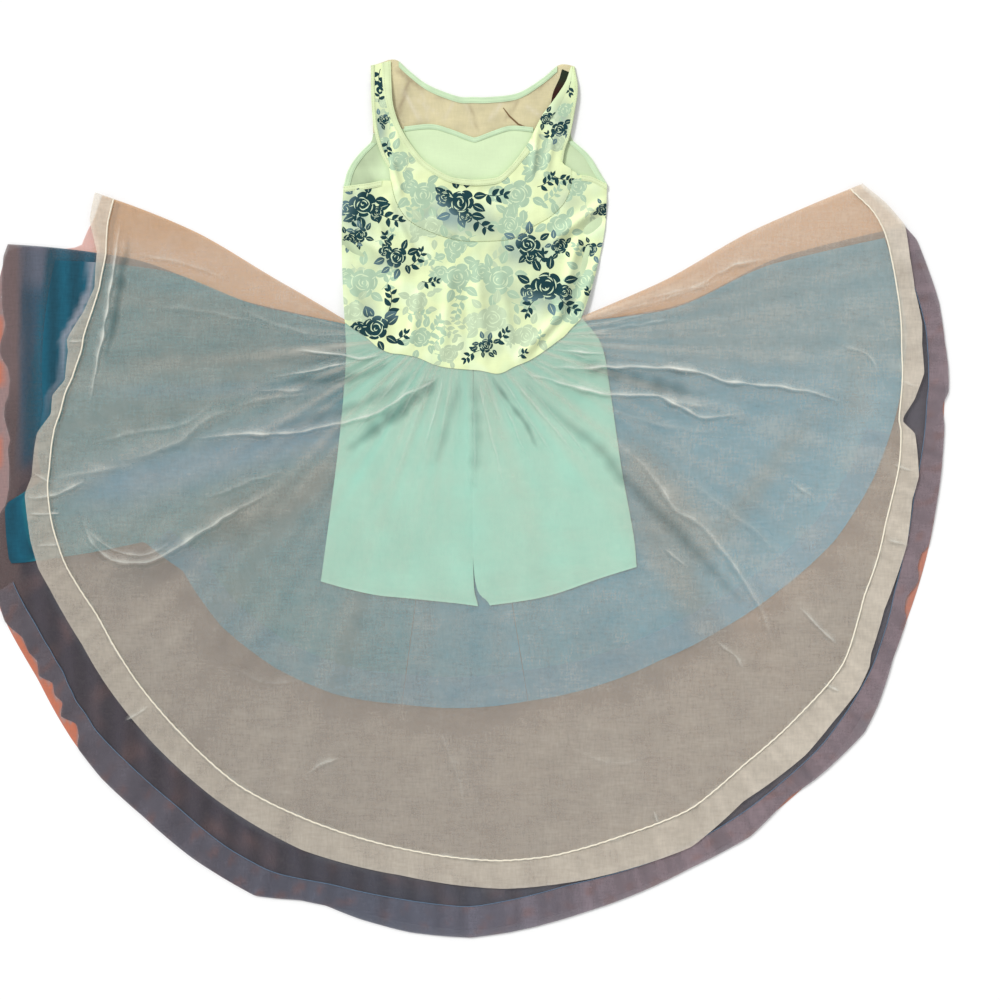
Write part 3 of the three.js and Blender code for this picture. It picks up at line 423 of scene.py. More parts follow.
def tubes(name, paths, radius, sides=6):
    """Round threads along 3D paths, pinched shut at their ends, as one mesh."""
    vertices, faces = [], []
    turn = np.arange(sides) * 2 * math.pi / sides
    for path in paths:
        ahead = np.gradient(path, axis=0)
        ahead /= np.linalg.norm(ahead, axis=1, keepdims=True)
        side = np.cross(ahead, [0, 0, 1])
        side /= np.maximum(np.linalg.norm(side, axis=1, keepdims=True), 1e-9)
        up = np.cross(side, ahead)
        size = np.full(len(path), float(radius))
        size[[0, -1]] *= 0.45
        ring = (side[:, None] * np.cos(turn)[None, :, None]
                + up[:, None] * np.sin(turn)[None, :, None]) * size[:, None, None]
        start = len(vertices)
        vertices.extend((path[:, None] + ring).reshape(-1, 3).tolist())
        last = start + (len(path) - 1) * sides
        for row in range(start, last, sides):
            for s in range(sides):
                a, b = row + s, row + (s + 1) % sides
                faces.append((a, b, b + sides, a + sides))
        faces.append(tuple(start + s for s in range(sides))[::-1])
        faces.append(tuple(last + s for s in range(sides)))
    return finish_mesh(name, np.array(vertices), faces)


def stitches(line, base, lift):
    """Short straight threads along a flat line, lifted over a height given by place."""
    path = np.column_stack([line, base(*line.T) + lift])
    run = run_along(path[:, :2])
    out = []
    for start in np.arange(0, run[-1] - STITCH_LENGTH, STITCH_PITCH):
        points = sampled(path, run, start + np.array([0, 0.25, 0.75, 1]) * STITCH_LENGTH)
        points[:, 2] += np.array([-0.15, 0.1, 0.1, -0.15])
        out.append(points)
    return out


# Materials

def add_node(tree, kind, inputs, **settings):
    """New node with its settings, each input linked to an output or given a value."""
    made = tree.nodes.new(kind)
    for key, value in settings.items():
        setattr(made, key, value)
    for key, value in inputs.items():
        if isinstance(value, bpy.types.NodeSocket):
            tree.links.new(value, made.inputs[key])
        else:
            made.inputs[key].default_value = value
    return made


def calculate(tree, operation, a, b, **settings):
    """Output of a sum or product of two outputs or numbers."""
    made = add_node(tree, "ShaderNodeMath", {0: a, 1: b}, operation=operation, **settings)
    return made.outputs[0]


def placed(tree, **mapping):
    """Places on the object, turned or scaled by a mapping."""
    where = add_node(tree, "ShaderNodeTexCoord", {}).outputs["Object"]
    return add_node(tree, "ShaderNodeMapping", {"Vector": where, **mapping}).outputs["Vector"]


def weave(tree, pitch):
    """0 to 1 over crossing threads of that pitch in millimetres."""
    where = placed(tree)
    inputs = {"Scale": 2 * math.pi / (20 * pitch * MM), "Vector": where}
    waves = [add_node(tree, "ShaderNodeTexWave", inputs, bands_direction=way).outputs["Fac"]
             for way in ("X", "Y")]
    return calculate(tree, "MULTIPLY", calculate(tree, "ADD", *waves), 0.5)


def streaks(tree, scale, along_x=1, along_y=1):
    """0 to 1 noise, drawn out along x or y by making it denser the other way."""
    where = placed(tree, Scale=(along_y, along_x, 1))
    inputs = {"Scale": scale, "Detail": 1.5, "Roughness": 0.6, "Vector": where}
    return add_node(tree, "ShaderNodeTexNoise", inputs).outputs["Fac"]


def ranged(tree, value, low, high):
    """A 0 to 1 value moved to another range."""
    inputs = {"Value": value, "To Min": low, "To Max": high}
    return add_node(tree, "ShaderNodeMapRange", inputs).outputs["Result"]


def new_material(name, inputs):
    """Material with its node tree and its shader, whose inputs are set."""
    material = bpy.data.materials.new(name)
    material.use_nodes = True
    tree = material.node_tree
    shader = tree.nodes["Principled BSDF"]
    for key, value in inputs.items():
        shader.inputs[key].default_value = value
    return material, tree, shader


def paint_on(tree, shader, colour, tone):
    """Gives the shader a colour times a tone."""
    inputs = {0: colour, "Scale": tone}
    paint = add_node(tree, "ShaderNodeVectorMath", inputs, operation="SCALE")
    tree.links.new(paint.outputs["Vector"], shader.inputs["Base Color"])


def raise_by(tree, shader, height, strength, distance):
    """Gives the shader the relief of threads too fine for the mesh."""
    inputs = {"Strength": strength, "Distance": distance, "Height": height}
    relief = add_node(tree, "ShaderNodeBump", inputs)
    tree.links.new(relief.outputs["Normal"], shader.inputs["Normal"])


def cloth_material(name, pitch, sheer, roughness, sheen, contrast, speckle, bump):
    """Woven or knitted cloth that takes its colour and cover from the piece's look."""
    material, tree, shader = new_material(name, {
        "Roughness": roughness, "Sheen Weight": sheen, "Sheen Roughness": 0.4,
        "Specular IOR Level": 0.2})
    look = add_node(tree, "ShaderNodeAttribute", {}, attribute_name="look")
    threads = weave(tree, pitch)
    grain = calculate(tree, "MULTIPLY", *[
        ranged(tree, streaks(tree, *cross), 1 - speckle, 1 + speckle)
        for cross in ((75, 5), (90, 1, 5))])
    tone = calculate(tree, "MULTIPLY", ranged(tree, threads, 1 - contrast, 1 + contrast), grain)
    paint_on(tree, shader, look.outputs["Color"], tone)
    if sheer:
        holes = calculate(tree, "MULTIPLY", ranged(tree, threads, 1 - 1.5 * contrast,
                                                   1 + 1.5 * contrast), grain)
        cover = calculate(tree, "MULTIPLY", look.outputs["Alpha"], holes, use_clamp=True)
        tree.links.new(cover, shader.inputs["Alpha"])
    if bump:
        raise_by(tree, shader, threads, bump, 0.3 * MM)
    return material


def thread_material(name, colour):
    """Twisted sewing thread or cord."""
    material, tree, shader = new_material(name, {"Roughness": 0.6, "Sheen Weight": 0.3})
    grain = streaks(tree, 400)
    paint_on(tree, shader, tuple(colour), ranged(tree, grain, 0.8, 1.15))
    raise_by(tree, shader, grain, 0.4, 0.2 * MM)
    return material


ORGANZA_CLOTH = cloth_material("organza", 0.9, True, 0.5, 0.2, 0.04, 0.09, 0)
KNIT_CLOTH = cloth_material("knit", 0.8, False, 0.85, 0.2, 0.03, 0.03, 0.3)
NET_CLOTH = cloth_material("net", 0.7, True, 0.7, 0.15, 0.03, 0.04, 0)
CREAM_THREAD = thread_material("cream_thread", from_srgb(240, 232, 212))
BLUE_THREAD = thread_material("blue_thread", from_srgb(82, 112, 140))
MINT_THREAD = thread_material("mint_thread", from_srgb(196, 222, 190))
LIME_THREAD = thread_material("lime_thread", from_srgb(205, 216, 168))

# Colours of the cloths
IVORY = from_srgb(228, 218, 202)
BLUE = from_srgb(34, 161, 192)
TEAL = from_srgb(0, 84, 106)
MINT = from_srgb(156, 213, 194)
LINING = from_srgb(210, 230, 188)
MESH = from_srgb(228, 218, 176)
TRIM = from_srgb(216, 230, 184)
BACK_TRIM = from_srgb(200, 224, 186)
GROUND = from_srgb(226, 238, 186)
SHADOW_BLUE = np.array([0.18, 0.28, 0.27])
DEEP_BLUE = np.array([0.09, 0.33, 0.50])
GREY_BLUE = np.array([0.22, 0.29, 0.27])
# Cover of one face of the mesh, whose two faces together have a cover of 0.82
MESH_COVER = 1 - math.sqrt(1 - 0.82)


def dress_up(piece, material, replaces=()):
    """Gives a piece its material and its body, and hides the nodes that it stands for."""
    piece.data.materials.append(material)
    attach(piece, "root")
    if replaces:
        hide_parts(*replaces)
    return piece


# Skirts

def fan_place(fan, angle, along, waist, soften=0.25):
    """x and y of a skirt: along is 0 at the waist, 1 at the fold line and 2 at the hem."""
    u = (angle - fan["from"]) / (fan["to"] - fan["from"])
    start_x = mix(WAIST_ENDS[0], WAIST_ENDS[1], np.clip(u, 0, 1))
    start_y = waist(start_x)
    fold = look_up(fan["fold"], angle, 1.0)
    hem = look_up(fan["hem"], angle, soften)
    end_x = np.sin(np.radians(angle)) * hem
    end_y = -np.cos(np.radians(angle)) * hem
    v = np.where(along <= 1, along * fold / hem, mix(fold / hem, 1, along - 1))
    bow = 0
    for (near, far), share in zip(fan["bows"], (smooth(BOW_REACH, 0, u),
                                                smooth(1 - BOW_REACH, 1, u))):
        bow = bow + share * mix(near, far, smooth(0.25, 0.65, v))
    return mix(start_x, end_x, v), mix(start_y, end_y, v) + bow * 4 * v * (1 - v)


def front_waist(x):
    """y of the front's waist."""
    return look_up(FRONT_WAIST, x, 4)


def back_waist(x):
    """y of the back's waist."""
    return look_up(BACK_WAIST, x, 4)


def tucked_waist(x):
    """Waist of what reaches up under the front."""
    return front_waist(x) + WAIST_TUCK


def hidden_waist(x):
    """Waist of the skirts that lie under the shorts."""
    return back_waist(x) - HIDDEN_SEAM


def coral_waist(x):
    """Hidden waist that climbs at its ends to the overskirt's."""
    first, last = WAIST_ENDS
    ends = smooth(first + 30, first, x) + smooth(last - 30, last, x)
    return hidden_waist(x) + (WAIST_TUCK + HIDDEN_SEAM) * ends


def bearing(x, y):
    """Angle of a place from straight down, in degrees."""
    return np.degrees(np.arctan2(x, -y))


def line_distance(x, y, x1, y1, x2, y2):
    """Part of a line's length reached by a point, and its distance to the side."""
    run_x, run_y = x2 - x1, y2 - y1
    length = math.hypot(run_x, run_y)
    along = ((x - x1) * run_x + (y - y1) * run_y) / length ** 2
    off = ((x - x1) * run_y - (y - y1) * run_x) / length
    return along, off


def ridge(x, y, x1, y1, x2, y2, width, fade=0.15):
    """1 on a line, fading out to its sides and ends."""
    along, off = line_distance(x, y, x1, y1, x2, y2)
    ends = smooth(-fade, fade, along) * smooth(1 + fade, 1 - fade, along)
    return ends * np.exp(-(off / width) ** 2)


def shelf(distance):
    """1 over what lies under the overskirt, 0 well past its edge."""
    return 1 - smooth(SHELF_MARGIN, SHELF_MARGIN + SHELF_RUN, distance)


def over_blue(x, y):
    """Shelf over the blue skirt."""
    return shelf(np.hypot(x, y) - look_up(BLUE_HEM, bearing(x, y)))


def past_shorts(x, y):
    """Distance past the outline of the shorts, negative inside it."""
    left = np.array(LEG_EDGES["left"]["start"][::-1], float)
    right = np.array(LEG_EDGES["right"]["end"][::-1], float)
    hems = LEG_EDGES["left"]["hem"] + LEG_EDGES["right"]["hem"]
    left_x = np.interp(y, left[:, 1], left[:, 0])
    right_x = np.interp(y, right[:, 1], right[:, 0])
    return np.maximum.reduce([left_x - x, x - right_x, look_up(hems, x) - y])


def overskirt_top(x, y, angle, along):
    """Height of the ivory overskirt's upper face."""
    fan = FANS["ivory"]
    part = np.minimum(along, 1)
    turn = (angle - fan["from"]) / (fan["to"] - fan["from"])
    wave = 0.5 - 0.5 * np.cos(2 * math.pi * GATHERS * turn)
    fade = smooth(0.03, 0.07, part) * (1 - smooth(0.07, GATHER_FADE, part))
    folds = np.zeros_like(x)
    for x1, y1, x2, y2, height, width in FOLDS:
        folds = np.maximum(folds, height * ridge(x, y, x1, y1, x2, y2, width))
    settled = smooth(0.05, 0.14, part)
    ripple = 0.35 * field(x, y, 60, 3) + 0.2 * field(x, y, 22, 4)
    return (LEVEL["front"] + WALL
            + LAYER * np.maximum(smooth(0.75, 0.9, part), 2 * over_blue(x, y))
            + LAYER * shelf(past_shorts(x, y))
            + GATHER_HEIGHT * wave * fade
            + folds * smooth(0.03, 0.12, part)
            + (0.5 + ripple) * settled)


# Tones of the layers under the overskirt along their pleats: darkness is painted fold shade, which
# darkens their colour (and below 0 lightens it) and also thickens the cover where the pleats
# double the cloth, thinning it where they thin it:
# x1, y1, x2, y2, width, darkness, blueness
TONES = [
    (-462, -40, -169, -31, 15, 0.35, 0.0), (-450, -78, -175, -72, 10, -0.12, 0.3),
    (-488, -206, -156, -119, 32, -0.05, 0.8), (-325, -250, -162, -175, 27, 0.4, -0.5),
    (188, 31, 288, 38, 12, -0.25, -0.2), (175, -69, 275, -75, 11, 0.35, 0.0),
    (194, -150, 288, -262, 27, 0.1, -0.7), (212, -225, 315, -400, 25, 0.4, -0.4),
    (275, -212, 400, -462, 22, -0.25, -0.1), (419, -119, 275, -300, 15, 0.15, -0.4),
    (488, 0, 475, -112, 17, -0.1, -0.3), (-400, 0, -188, -19, 17, 0.15, 0.0),
    (-270, -84, -180, -80, 14, 0.3, 0.0), (-300, -262, -220, -215, 22, 0.25, 0.05),
    (-380, -300, -290, -270, 22, 0.15, 0.35), (-450, -330, -400, -290, 22, 0.5, 0.0),
    (505, -60, 458, -230, 24, -0.7, -0.2), (458, -230, 335, -360, 27, -0.8, -0.2),
    (-420, -120, -250, -60, 20, 0.22, 0.0),
    (-430, 40, -260, 10, 22, 0.16, -0.1), (-420, 60, -300, 44, 10, -0.15, 0.1),
    (420, 60, 240, 10, 22, 0.14, -0.1), (440, -20, 260, -30, 20, 0.12, -0.1),
    (-120, -180, -160, -420, 18, 0.15, -0.1), (-60, -420, -100, -480, 16, 0.2, 0.1),
    (60, -390, 120, -480, 18, -0.15, 0.2), (140, -380, 240, -440, 20, 0.2, 0.1),
]


def tones(x, y):
    """Painted fold shade (darkness) and blueness of the under layers at a point."""
    dark, blue = np.zeros_like(x), np.zeros_like(x)
    for x1, y1, x2, y2, width, darkness, blueness in TONES:
        share = ridge(x, y, x1, y1, x2, y2, width, 0.2)
        dark += darkness * share
        blue += blueness * share
    return dark, blue


def under_ivory(x, y):
    """1 where the overskirt covers a point, 0 past its hem."""
    reach = look_up(IVORY_HEM, bearing(x, y), 0.25)
    return smooth(2, -4, np.hypot(x, y) - reach)


def blend(base, other, share):
    """One colour over another, by shares that may vary from place to place."""
    return base + (other - base) * np.asarray(share)[..., None]


def fan_angles(fan, first, last, spacing):
    corners = [row[0] for row in fan["hem"] if first < row[0] < last]
    count = int(round((last - first) / spacing)) + 1
    return np.union1d(np.linspace(first, last, count), corners)


def fan_grid(fan, span, spacing, alongs, waist):
    """Angle, along, x and y over a skirt or a part of it. span is its first and last angle."""
    angles = fan_angles(fan, *span, spacing)
    angle, along = np.meshgrid(angles, alongs, indexing="ij")
    return angle, along, *fan_place(fan, angle, along, waist)


def whole(fan):
    """First and last angle of a skirt."""
    return fan["from"], fan["to"]


def to_hem(*rows):
    """Rows of a skirt down to its fold line, and the five that follow to its hem."""
    return np.concatenate([*rows, np.linspace(1, 2, 6)[1:]])


def past(hem, x, y, run=4):
    """0 inside a skirt's hem, 1 past it."""
    return smooth(-run / 2, run / 2, np.hypot(x, y) - look_up(hem, bearing(x, y), 0.25))


def leftness(x):
    """1 on the viewer's left, 0 on the right. The layers lie thinner to the right, and some of
    their colours carry a painted light gradient, darker to the left and lighter to the right.
    """
    return smooth(380, -380, x)


def pleats_by(angle, seed, periods, swell):
    """Sum of waves by angle, each stronger and weaker in turns, about -1 to 1."""
    pick = np.random.default_rng(seed)
    total = 0
    for period in periods:
        total = total + np.sin(2 * math.pi * angle / period + pick.uniform(0, 6.3)) \
            * (1 + 0.8 * np.sin(angle / swell + pick.uniform(0, 6.3)))
    return total / 3


def long_pleats(angle, seed):
    """Uneven broad pleats that run from the waist to the hem."""
    return pleats_by(angle, seed, (4.3, 6.7, 11.0, 19.0, 31.0), 23)


def hem_tucks(angle, seed):
    """Uneven small pleats across a hem or a gathered waist."""
    return pleats_by(angle, seed, (1.3, 1.9, 2.7, 3.8, 5.6, 9.0), 17)


# Places on the left edge where the coral layer lies bare: x1, y1, x2, y2, width
BARE_CORAL = [(-588, 16, -588, -14, 5), (-588, -40, -588, -70, 6), (-589, -134, -589, -172, 4)]


def make_coral():
    fan = FANS["coral"]
    angle, _, x, y = fan_grid(fan, whole(fan), 0.55, np.linspace(0, 1, 100), coral_waist)
    z = 0.5 + 0.12 * field(x, y, 90, 11)
    outside = 1 - under_ivory(x, y)
    bare = past(NAVY_HEM, x, y)
    patches = np.maximum.reduce([ridge(x, y, *row) for row in BARE_CORAL])
    on_left_edge = smooth(-560, -575, x) * smooth(-330, -300, y)
    bright = mix(bare, patches, on_left_edge)
    left = leftness(x)
    colour = blend(from_srgb(202, 142, 68), from_srgb(150, 122, 120), outside)
    colour = blend(colour, blend(from_srgb(186, 120, 100), from_srgb(194, 112, 84), left),
                   bright * outside)
    ends = np.maximum(smooth(-99.5, -100.5, angle), smooth(102.4, 103.4, angle))
    colour = blend(colour, from_srgb(206, 122, 96), ends * outside)
    cover = 0.56 + 0.03 * field(x, y, 120, 12) + 0.02 * field(x, y, 24, 13)
    cover = cover + 0.14 * smooth(90, 140, y) * left
    cover = mix(mix(cover, 0.42, outside), 0.85, bare * outside)
    return sheer_sheet("coral_underskirt_cloth", "coral_organza", "coral_underskirt",
                       x, y, z, colour, cover)


# Left edge of the vivid teal that shows past the overskirt: y, x
TEAL_EDGE = [(-170, -554), (-88, -553), (0, -541), (94, -529)]


def navy_look(x, y):
    """Colour and cover of the navy skirt."""
    dark, _ = tones(x, y)
    inside = under_ivory(x, y)
    left = leftness(x)
    # Painted fold shade: the navy under the overskirt darker along the tones.
    inner = from_srgb(80, 88, 98) * (1 - 0.4 * dark)[..., None]
    outer = blend(from_srgb(78, 77, 86), from_srgb(40, 72, 92), left)
    outer = blend(outer, from_srgb(90, 94, 108), 0.8 * smooth(40, 70, y) * left)
    outer = blend(outer, from_srgb(62, 54, 60), 0.9 * smooth(-150, -200, y) * left)
    brown = smooth(0, 1.2, field(x, y, 44, 26)) * (0.2 + 0.2 * left) * smooth(-60, -160, y)
    outer = blend(outer, from_srgb(112, 86, 82), brown)
    streak = 0.5 + 0.5 * np.sin(x / 5.1 + 0.6 * np.sin(y / 60))
    outer = outer * (0.8 + 0.4 * streak)[..., None]
    teal = smooth(-3, 3, x - look_up(TEAL_EDGE, y)) * smooth(-165, -140, y) * smooth(-380, -420, x)
    outer = blend(outer, TEAL * (0.6 + 0.45 * streak)[..., None], teal)
    far_left = from_srgb(108, 90, 90) * (1 - 0.35 * smooth(-40, -120, y))[..., None]
    outer = blend(outer, far_left, smooth(-556, -568, x))
    bottom = smooth(-150, -350, y) * (1 - left)
    thin = mix(0.50, 0.62, left) + 0.06 * bottom
    cover = mix(mix(0.70, 0.80, left), thin * (1 + 0.4 * dark), inside)
    return blend(outer, inner, inside), cover + 0.012 * field(x, y, 80, 21)


def make_navy():
    fan = FANS["navy"]
    _, _, x, y = fan_grid(fan, whole(fan), 0.6, to_hem(np.linspace(0, 1, 60)), hidden_waist)
    z = LEVEL["navy"] + SHEET_RISE + 0.12 * field(x, y, 70, 22)
    piece = sheer_sheet("navy_skirt_cloth", "navy_organza", "navy_skirt",
                        x, y, z, *navy_look(x, y))

    angle, _, x, y = fan_grid(fan, NAVY_BAND, 0.4, FOLD_ROWS, hidden_waist)
    z = LEVEL["navy"] + LAYER + SHEET_RISE + 0.25 * field(x, y, 40, 23)
    colour = blend(from_srgb(100, 110, 128), from_srgb(112, 106, 114), leftness(x + 220))
    # Painted light: the hem fold lighter and pinker towards the right.
    colour = blend(colour, from_srgb(156, 138, 144), smooth(-160, 280, x))
    colour = blend(colour, from_srgb(150, 104, 90), 0.35 * smooth(0.3, 1.2, field(x, y, 26, 27)))
    cover = 0.5 + 0.07 * field(x, y, 50, 24) + 0.08 * hem_tucks(angle, 25)
    band = sheer_sheet("navy_hem_fold", "navy_organza", "navy_hem_band",
                       x, y, z, colour, cover)

    angles = np.linspace(*NAVY_BAND, 420)
    line_x, line_y = fan_place(fan, angles, np.ones_like(angles), hidden_waist)
    thread = tubes("navy_hem_thread", [stacked(line_x, line_y, LEVEL["navy"] + LAYER + 1.15)],
                   0.45)
    dress_up(thread, BLUE_THREAD)
    return piece, band, thread


def blue_look(x, y, angle, centre):
    """Colour and cover of a gore. centre is 1 on the middle one and 0 on the others."""
    dark, blue = tones(x, y)
    left = leftness(x)
    colour = blend(BLUE * 1.04, from_srgb(38, 147, 160), left)
    colour = blend(colour, SHADOW_BLUE, 0.35 * smooth(-90, 0, y) * (1 - left))
    # Painted shade: darker along the tones' folds and towards the left.
    colour = colour * (1 - 0.7 * dark - 0.12 * left)[..., None]
    bluer = np.clip(1.3 * blue + 0.25 * centre, 0, 1)
    colour = blend(colour, DEEP_BLUE, bluer * 0.8)
    colour = blend(colour, GREY_BLUE, np.clip(-blue, 0, 1) * 0.8)
    inside = under_ivory(x, y)
    folds = 0.012 * field(x, y, 80, 32) + 0.04 * long_pleats(angle, 33)
    cover = mix(0.93, 0.6 + 0.15 * dark + 0.08 * blue, inside) + folds
    beside = past(IVORY_HEM, x, y, 2) * (1 - past(IVORY_HEM, x + 10, y, 6)) * left
    outer = TEAL * (0.62 + 0.45 * (0.5 + 0.5 * np.sin(x / 4.3)))[..., None]
    outer = blend(outer, from_srgb(150, 154, 164), 0.8 * beside * smooth(-150, 30, y))
    return blend(outer, colour, inside), cover


def make_blue():
    fan = FANS["blue"]
    pieces = []
    for name, span in GORES.items():
        angle, _, x, y = fan_grid(fan, span, 0.6, to_hem(np.linspace(0, 1, 56)), hidden_waist)
        z = LEVEL["blue"] + SHEET_RISE + 0.12 * field(x, y, 70, 31)
        centre = float(name == "blue_skirt_centre_gore")
        pieces.append(sheer_sheet(name + "_cloth", "blue_organza", name, x, y, z,
                                  *blue_look(x, y, angle, centre)))
    _, _, x, y = fan_grid(fan, BLUE_BAND, 0.6, FOLD_ROWS, hidden_waist)
    band = sheer_sheet("blue_hem_fold", "blue_organza", "blue_hem_band", x, y,
                       LEVEL["blue"] + LAYER + 0.7, from_srgb(96, 150, 184), 0.2)
    return pieces, band


# Creases of the overskirt: points along each, its half width, height and the brightness of its
# painted highlight.
# Those with a negative brightness are valleys with painted shade and no highlight.
CREASES = [
    ([(-221, -26), (-172, -30), (-135, -35), (-109, -31)], 6, 0.6, 0.9),
    ([(-244, -59), (-205, -52), (-141, -40)], 5, 0.5, 0.6),
    ([(-339, -135), (-285, -130), (-221, -128), (-158, -116), (-118, -104), (-79, -81),
      (-50, -66), (-31, -52)], 7, 0.7, 0.75),
    ([(-425, -162), (-364, -139), (-336, -116), (-300, -98)], 11, 0.6, 0.28),
    ([(-470, -140), (-420, -128), (-360, -118), (-320, -92)], 7, 0.3, 0.22),
    ([(-520, -186), (-470, -176), (-420, -168)], 9, 0.3, 0.22),
    ([(-330, -210), (-280, -190), (-230, -176)], 8, 0.3, 0.22),
    ([(-420, 96), (-360, 84), (-300, 62)], 6, 0.3, 0.25),
    ([(-400, 30), (-330, 24), (-250, 6)], 9, 0.3, 0.16),
    ([(120, 8), (180, 22), (260, 44), (330, 70)], 6, 0.3, 0.3),
    ([(176, -100), (240, -118), (320, -130)], 9, 0.3, 0.16),
    ([(260, -180), (330, -230), (400, -290)], 10, 0.3, 0.14),
    ([(-40, -500), (-20, -540), (-6, -600)], 8, 0.2, 0.12),
    ([(-300, -420), (-250, -440), (-190, -430)], 8, 0.2, 0.12),
    ([(120, -520), (180, -540), (230, -530)], 8, 0.2, 0.12),
    ([(-300, -98), (-250, -84), (-190, -80)], 7, 0.3, 0.2),
    ([(-556, -209), (-520, -206), (-479, -188)], 7, 0.5, 0.6),
    ([(-485, -232), (-472, -262), (-455, -280), (-438, -288), (-396, -288), (-364, -270),
      (-300, -230), (-240, -196)], 9, 0.8, 0.6),
    ([(-476, -250), (-440, -276), (-400, -280), (-370, -262)], 6, 0.5, 0.4),
    ([(59, -52), (90, -60), (131, -71), (176, -80), (234, -82), (266, -98), (290, -109),
      (344, -104)], 7, 0.7, 0.7),
    ([(234, -84), (262, -90), (300, -96)], 10, 0.5, 0.35),
    ([(88, -40), (106, -46), (139, -48), (202, -46), (274, -50), (321, -64), (386, -71),
      (434, -80), (469, -92)], 7, 0.7, 0.85),
    ([(110, -26), (170, -30)], 5, 0.5, 0.7),
    ([(130, -10), (190, 4), (262, 14)], 6, 0.4, 0.3),
    ([(185, -141), (226, -180), (259, -225), (290, -244), (338, -305), (366, -356),
      (379, -398)], 10, 0.8, 0.4),
    ([(239, -270), (271, -295)], 6, 0.4, 0.4),
    ([(411, -346), (459, -394)], 6, 0.5, 0.55),
    ([(306, -388), (331, -406), (340, -422)], 6, 0.4, 0.4),
    ([(400, -188), (431, -210)], 6, 0.4, 0.3),
    ([(465, -20), (494, -30), (510, -55)], 6, 0.5, 0.35),
    ([(-475, -91), (-460, -14), (-451, 34), (-444, 85), (-436, 137)], 6, 0.6, 0.8),
    ([(212, 38), (275, 52), (312, 72), (338, 84), (388, 89)], 7, 0.5, 0.45),
    ([(-206, -556), (-185, -542), (-162, -534)], 6, 0.4, 0.35),
    ([(-266, -75), (-200, -76)], 6, 0.3, 0.35),
    ([(-180, -8), (-230, 4), (-290, 26)], 8, 0.3, 0.2),
    ([(-501, -14), (-475, -14)], 5, 0.4, 0.7), ([(-544, -180), (-522, -190)], 5, 0.4, 0.7),
    ([(-549, -230), (-510, -230)], 5, 0.4, 0.7), ([(-541, -271), (-510, -268)], 5, 0.4, 0.5),
    ([(-430, -488), (-402, -470)], 5, 0.4, 0.5), ([(536, -62), (556, -70)], 5, 0.4, 0.5),
    ([(528, -168), (552, -176)], 5, 0.4, 0.6), ([(520, -262), (548, -268)], 5, 0.4, 0.5),
    ([(440, -440), (462, -452)], 5, 0.4, 0.6), ([(230, -600), (238, -626)], 5, 0.4, 0.4),
    ([(24, -55), (44, -84), (69, -119), (85, -149)], 5, 0.0, -0.3),
    ([(57, -52), (88, -88), (125, -119), (162, -150), (191, -185), (225, -219), (275, -269),
      (325, -325), (359, -350)], 13, 0.0, -0.24),
    ([(-37, -60), (-87, -100), (-156, -152)], 13, 0.0, -0.4),
    ([(-100, -40), (-140, -58), (-230, -66)], 10, 0.0, -0.3),
    ([(-12, -56), (-26, -110), (-44, -170)], 9, 0.0, -0.16),
    ([(6, -56), (8, -120), (4, -200)], 10, 0.0, -0.14),
    ([(-62, -52), (-130, -90), (-260, -128)], 9, 0.0, -0.2),
    ([(120, -30), (180, -56), (300, -84)], 12, 0.0, -0.25),
    ([(-424, 120), (-434, 70), (-442, 20), (-456, -40)], 8, 0.0, -0.4),
]
# Painted highlight along the creases' ridges, and painted shade beside them and in the valleys.
CREASE_LIGHT = from_srgb(240, 240, 230)
CREASE_SHADE = from_srgb(70, 96, 96)


def overskirt_height_at(x, y):
    """Upper face of the overskirt at a place, found from the skirt's own lines."""
    fan = FANS["ivory"]
    angle, along = bearing(x, y), np.full_like(x, 0.6)
    step_a, step_l = 0.2, 0.01
    for _ in range(12):
        px, py = fan_place(fan, angle, along, tucked_waist)
        ax, ay = fan_place(fan, angle + step_a, along, tucked_waist)
        lx, ly = fan_place(fan, angle, along + step_l, tucked_waist)
        a11, a21 = (ax - px) / step_a, (ay - py) / step_a
        a12, a22 = (lx - px) / step_l, (ly - py) / step_l
        det = a11 * a22 - a12 * a21
        det = np.where(np.abs(det) < 1e-6, 1e-6, det)
        dx, dy = x - px, y - py
        angle = angle + np.clip((dx * a22 - dy * a12) / det, -15, 15)
        along = np.clip(along + np.clip((a11 * dy - a21 * dx) / det, -0.3, 0.3), 0.001, 2)
        angle = np.clip(angle, *whole(fan))
    return overskirt_top(x, y, angle, along) + LAYER * smooth(0.97, 1, along)


# Fine gathers that run out of the waist: how many, and the angles between which they lie
GATHER_LINES = 30
GATHER_SPAN = (-97, 99)


def gather_lines():
    """Short pinched lines along the skirt, uneven in length and strength."""
    pick = np.random.default_rng(55)
    fan = FANS["ivory"]
    rows = []
    for angle in np.linspace(*GATHER_SPAN, GATHER_LINES):
        angle = angle + pick.uniform(-2, 2)
        along = np.linspace(0.012, pick.uniform(0.08, 0.3), 6)
        bend = pick.uniform(-3, 3) * np.linspace(0, 1, 6) ** 2
        x, y = fan_place(fan, angle + bend, along, tucked_waist)
        rows.append((np.column_stack([x, y]), pick.uniform(2.2, 4), 0.2, pick.uniform(0.1, 0.32)))
    return rows


# Section of a crease, from its lower side: place, cover of its light, cover of its shade
CREASE_SECTION = [
    (-1, 0, 0), (-0.72, 0, 0.12), (-0.42, 0, 0.2), (-0.22, 0.15, 0), (-0.06, 0.72, 0),
    (0.1, 0.5, 0), (0.35, 0.2, 0), (0.65, 0.1, 0), (1, 0, 0),
]


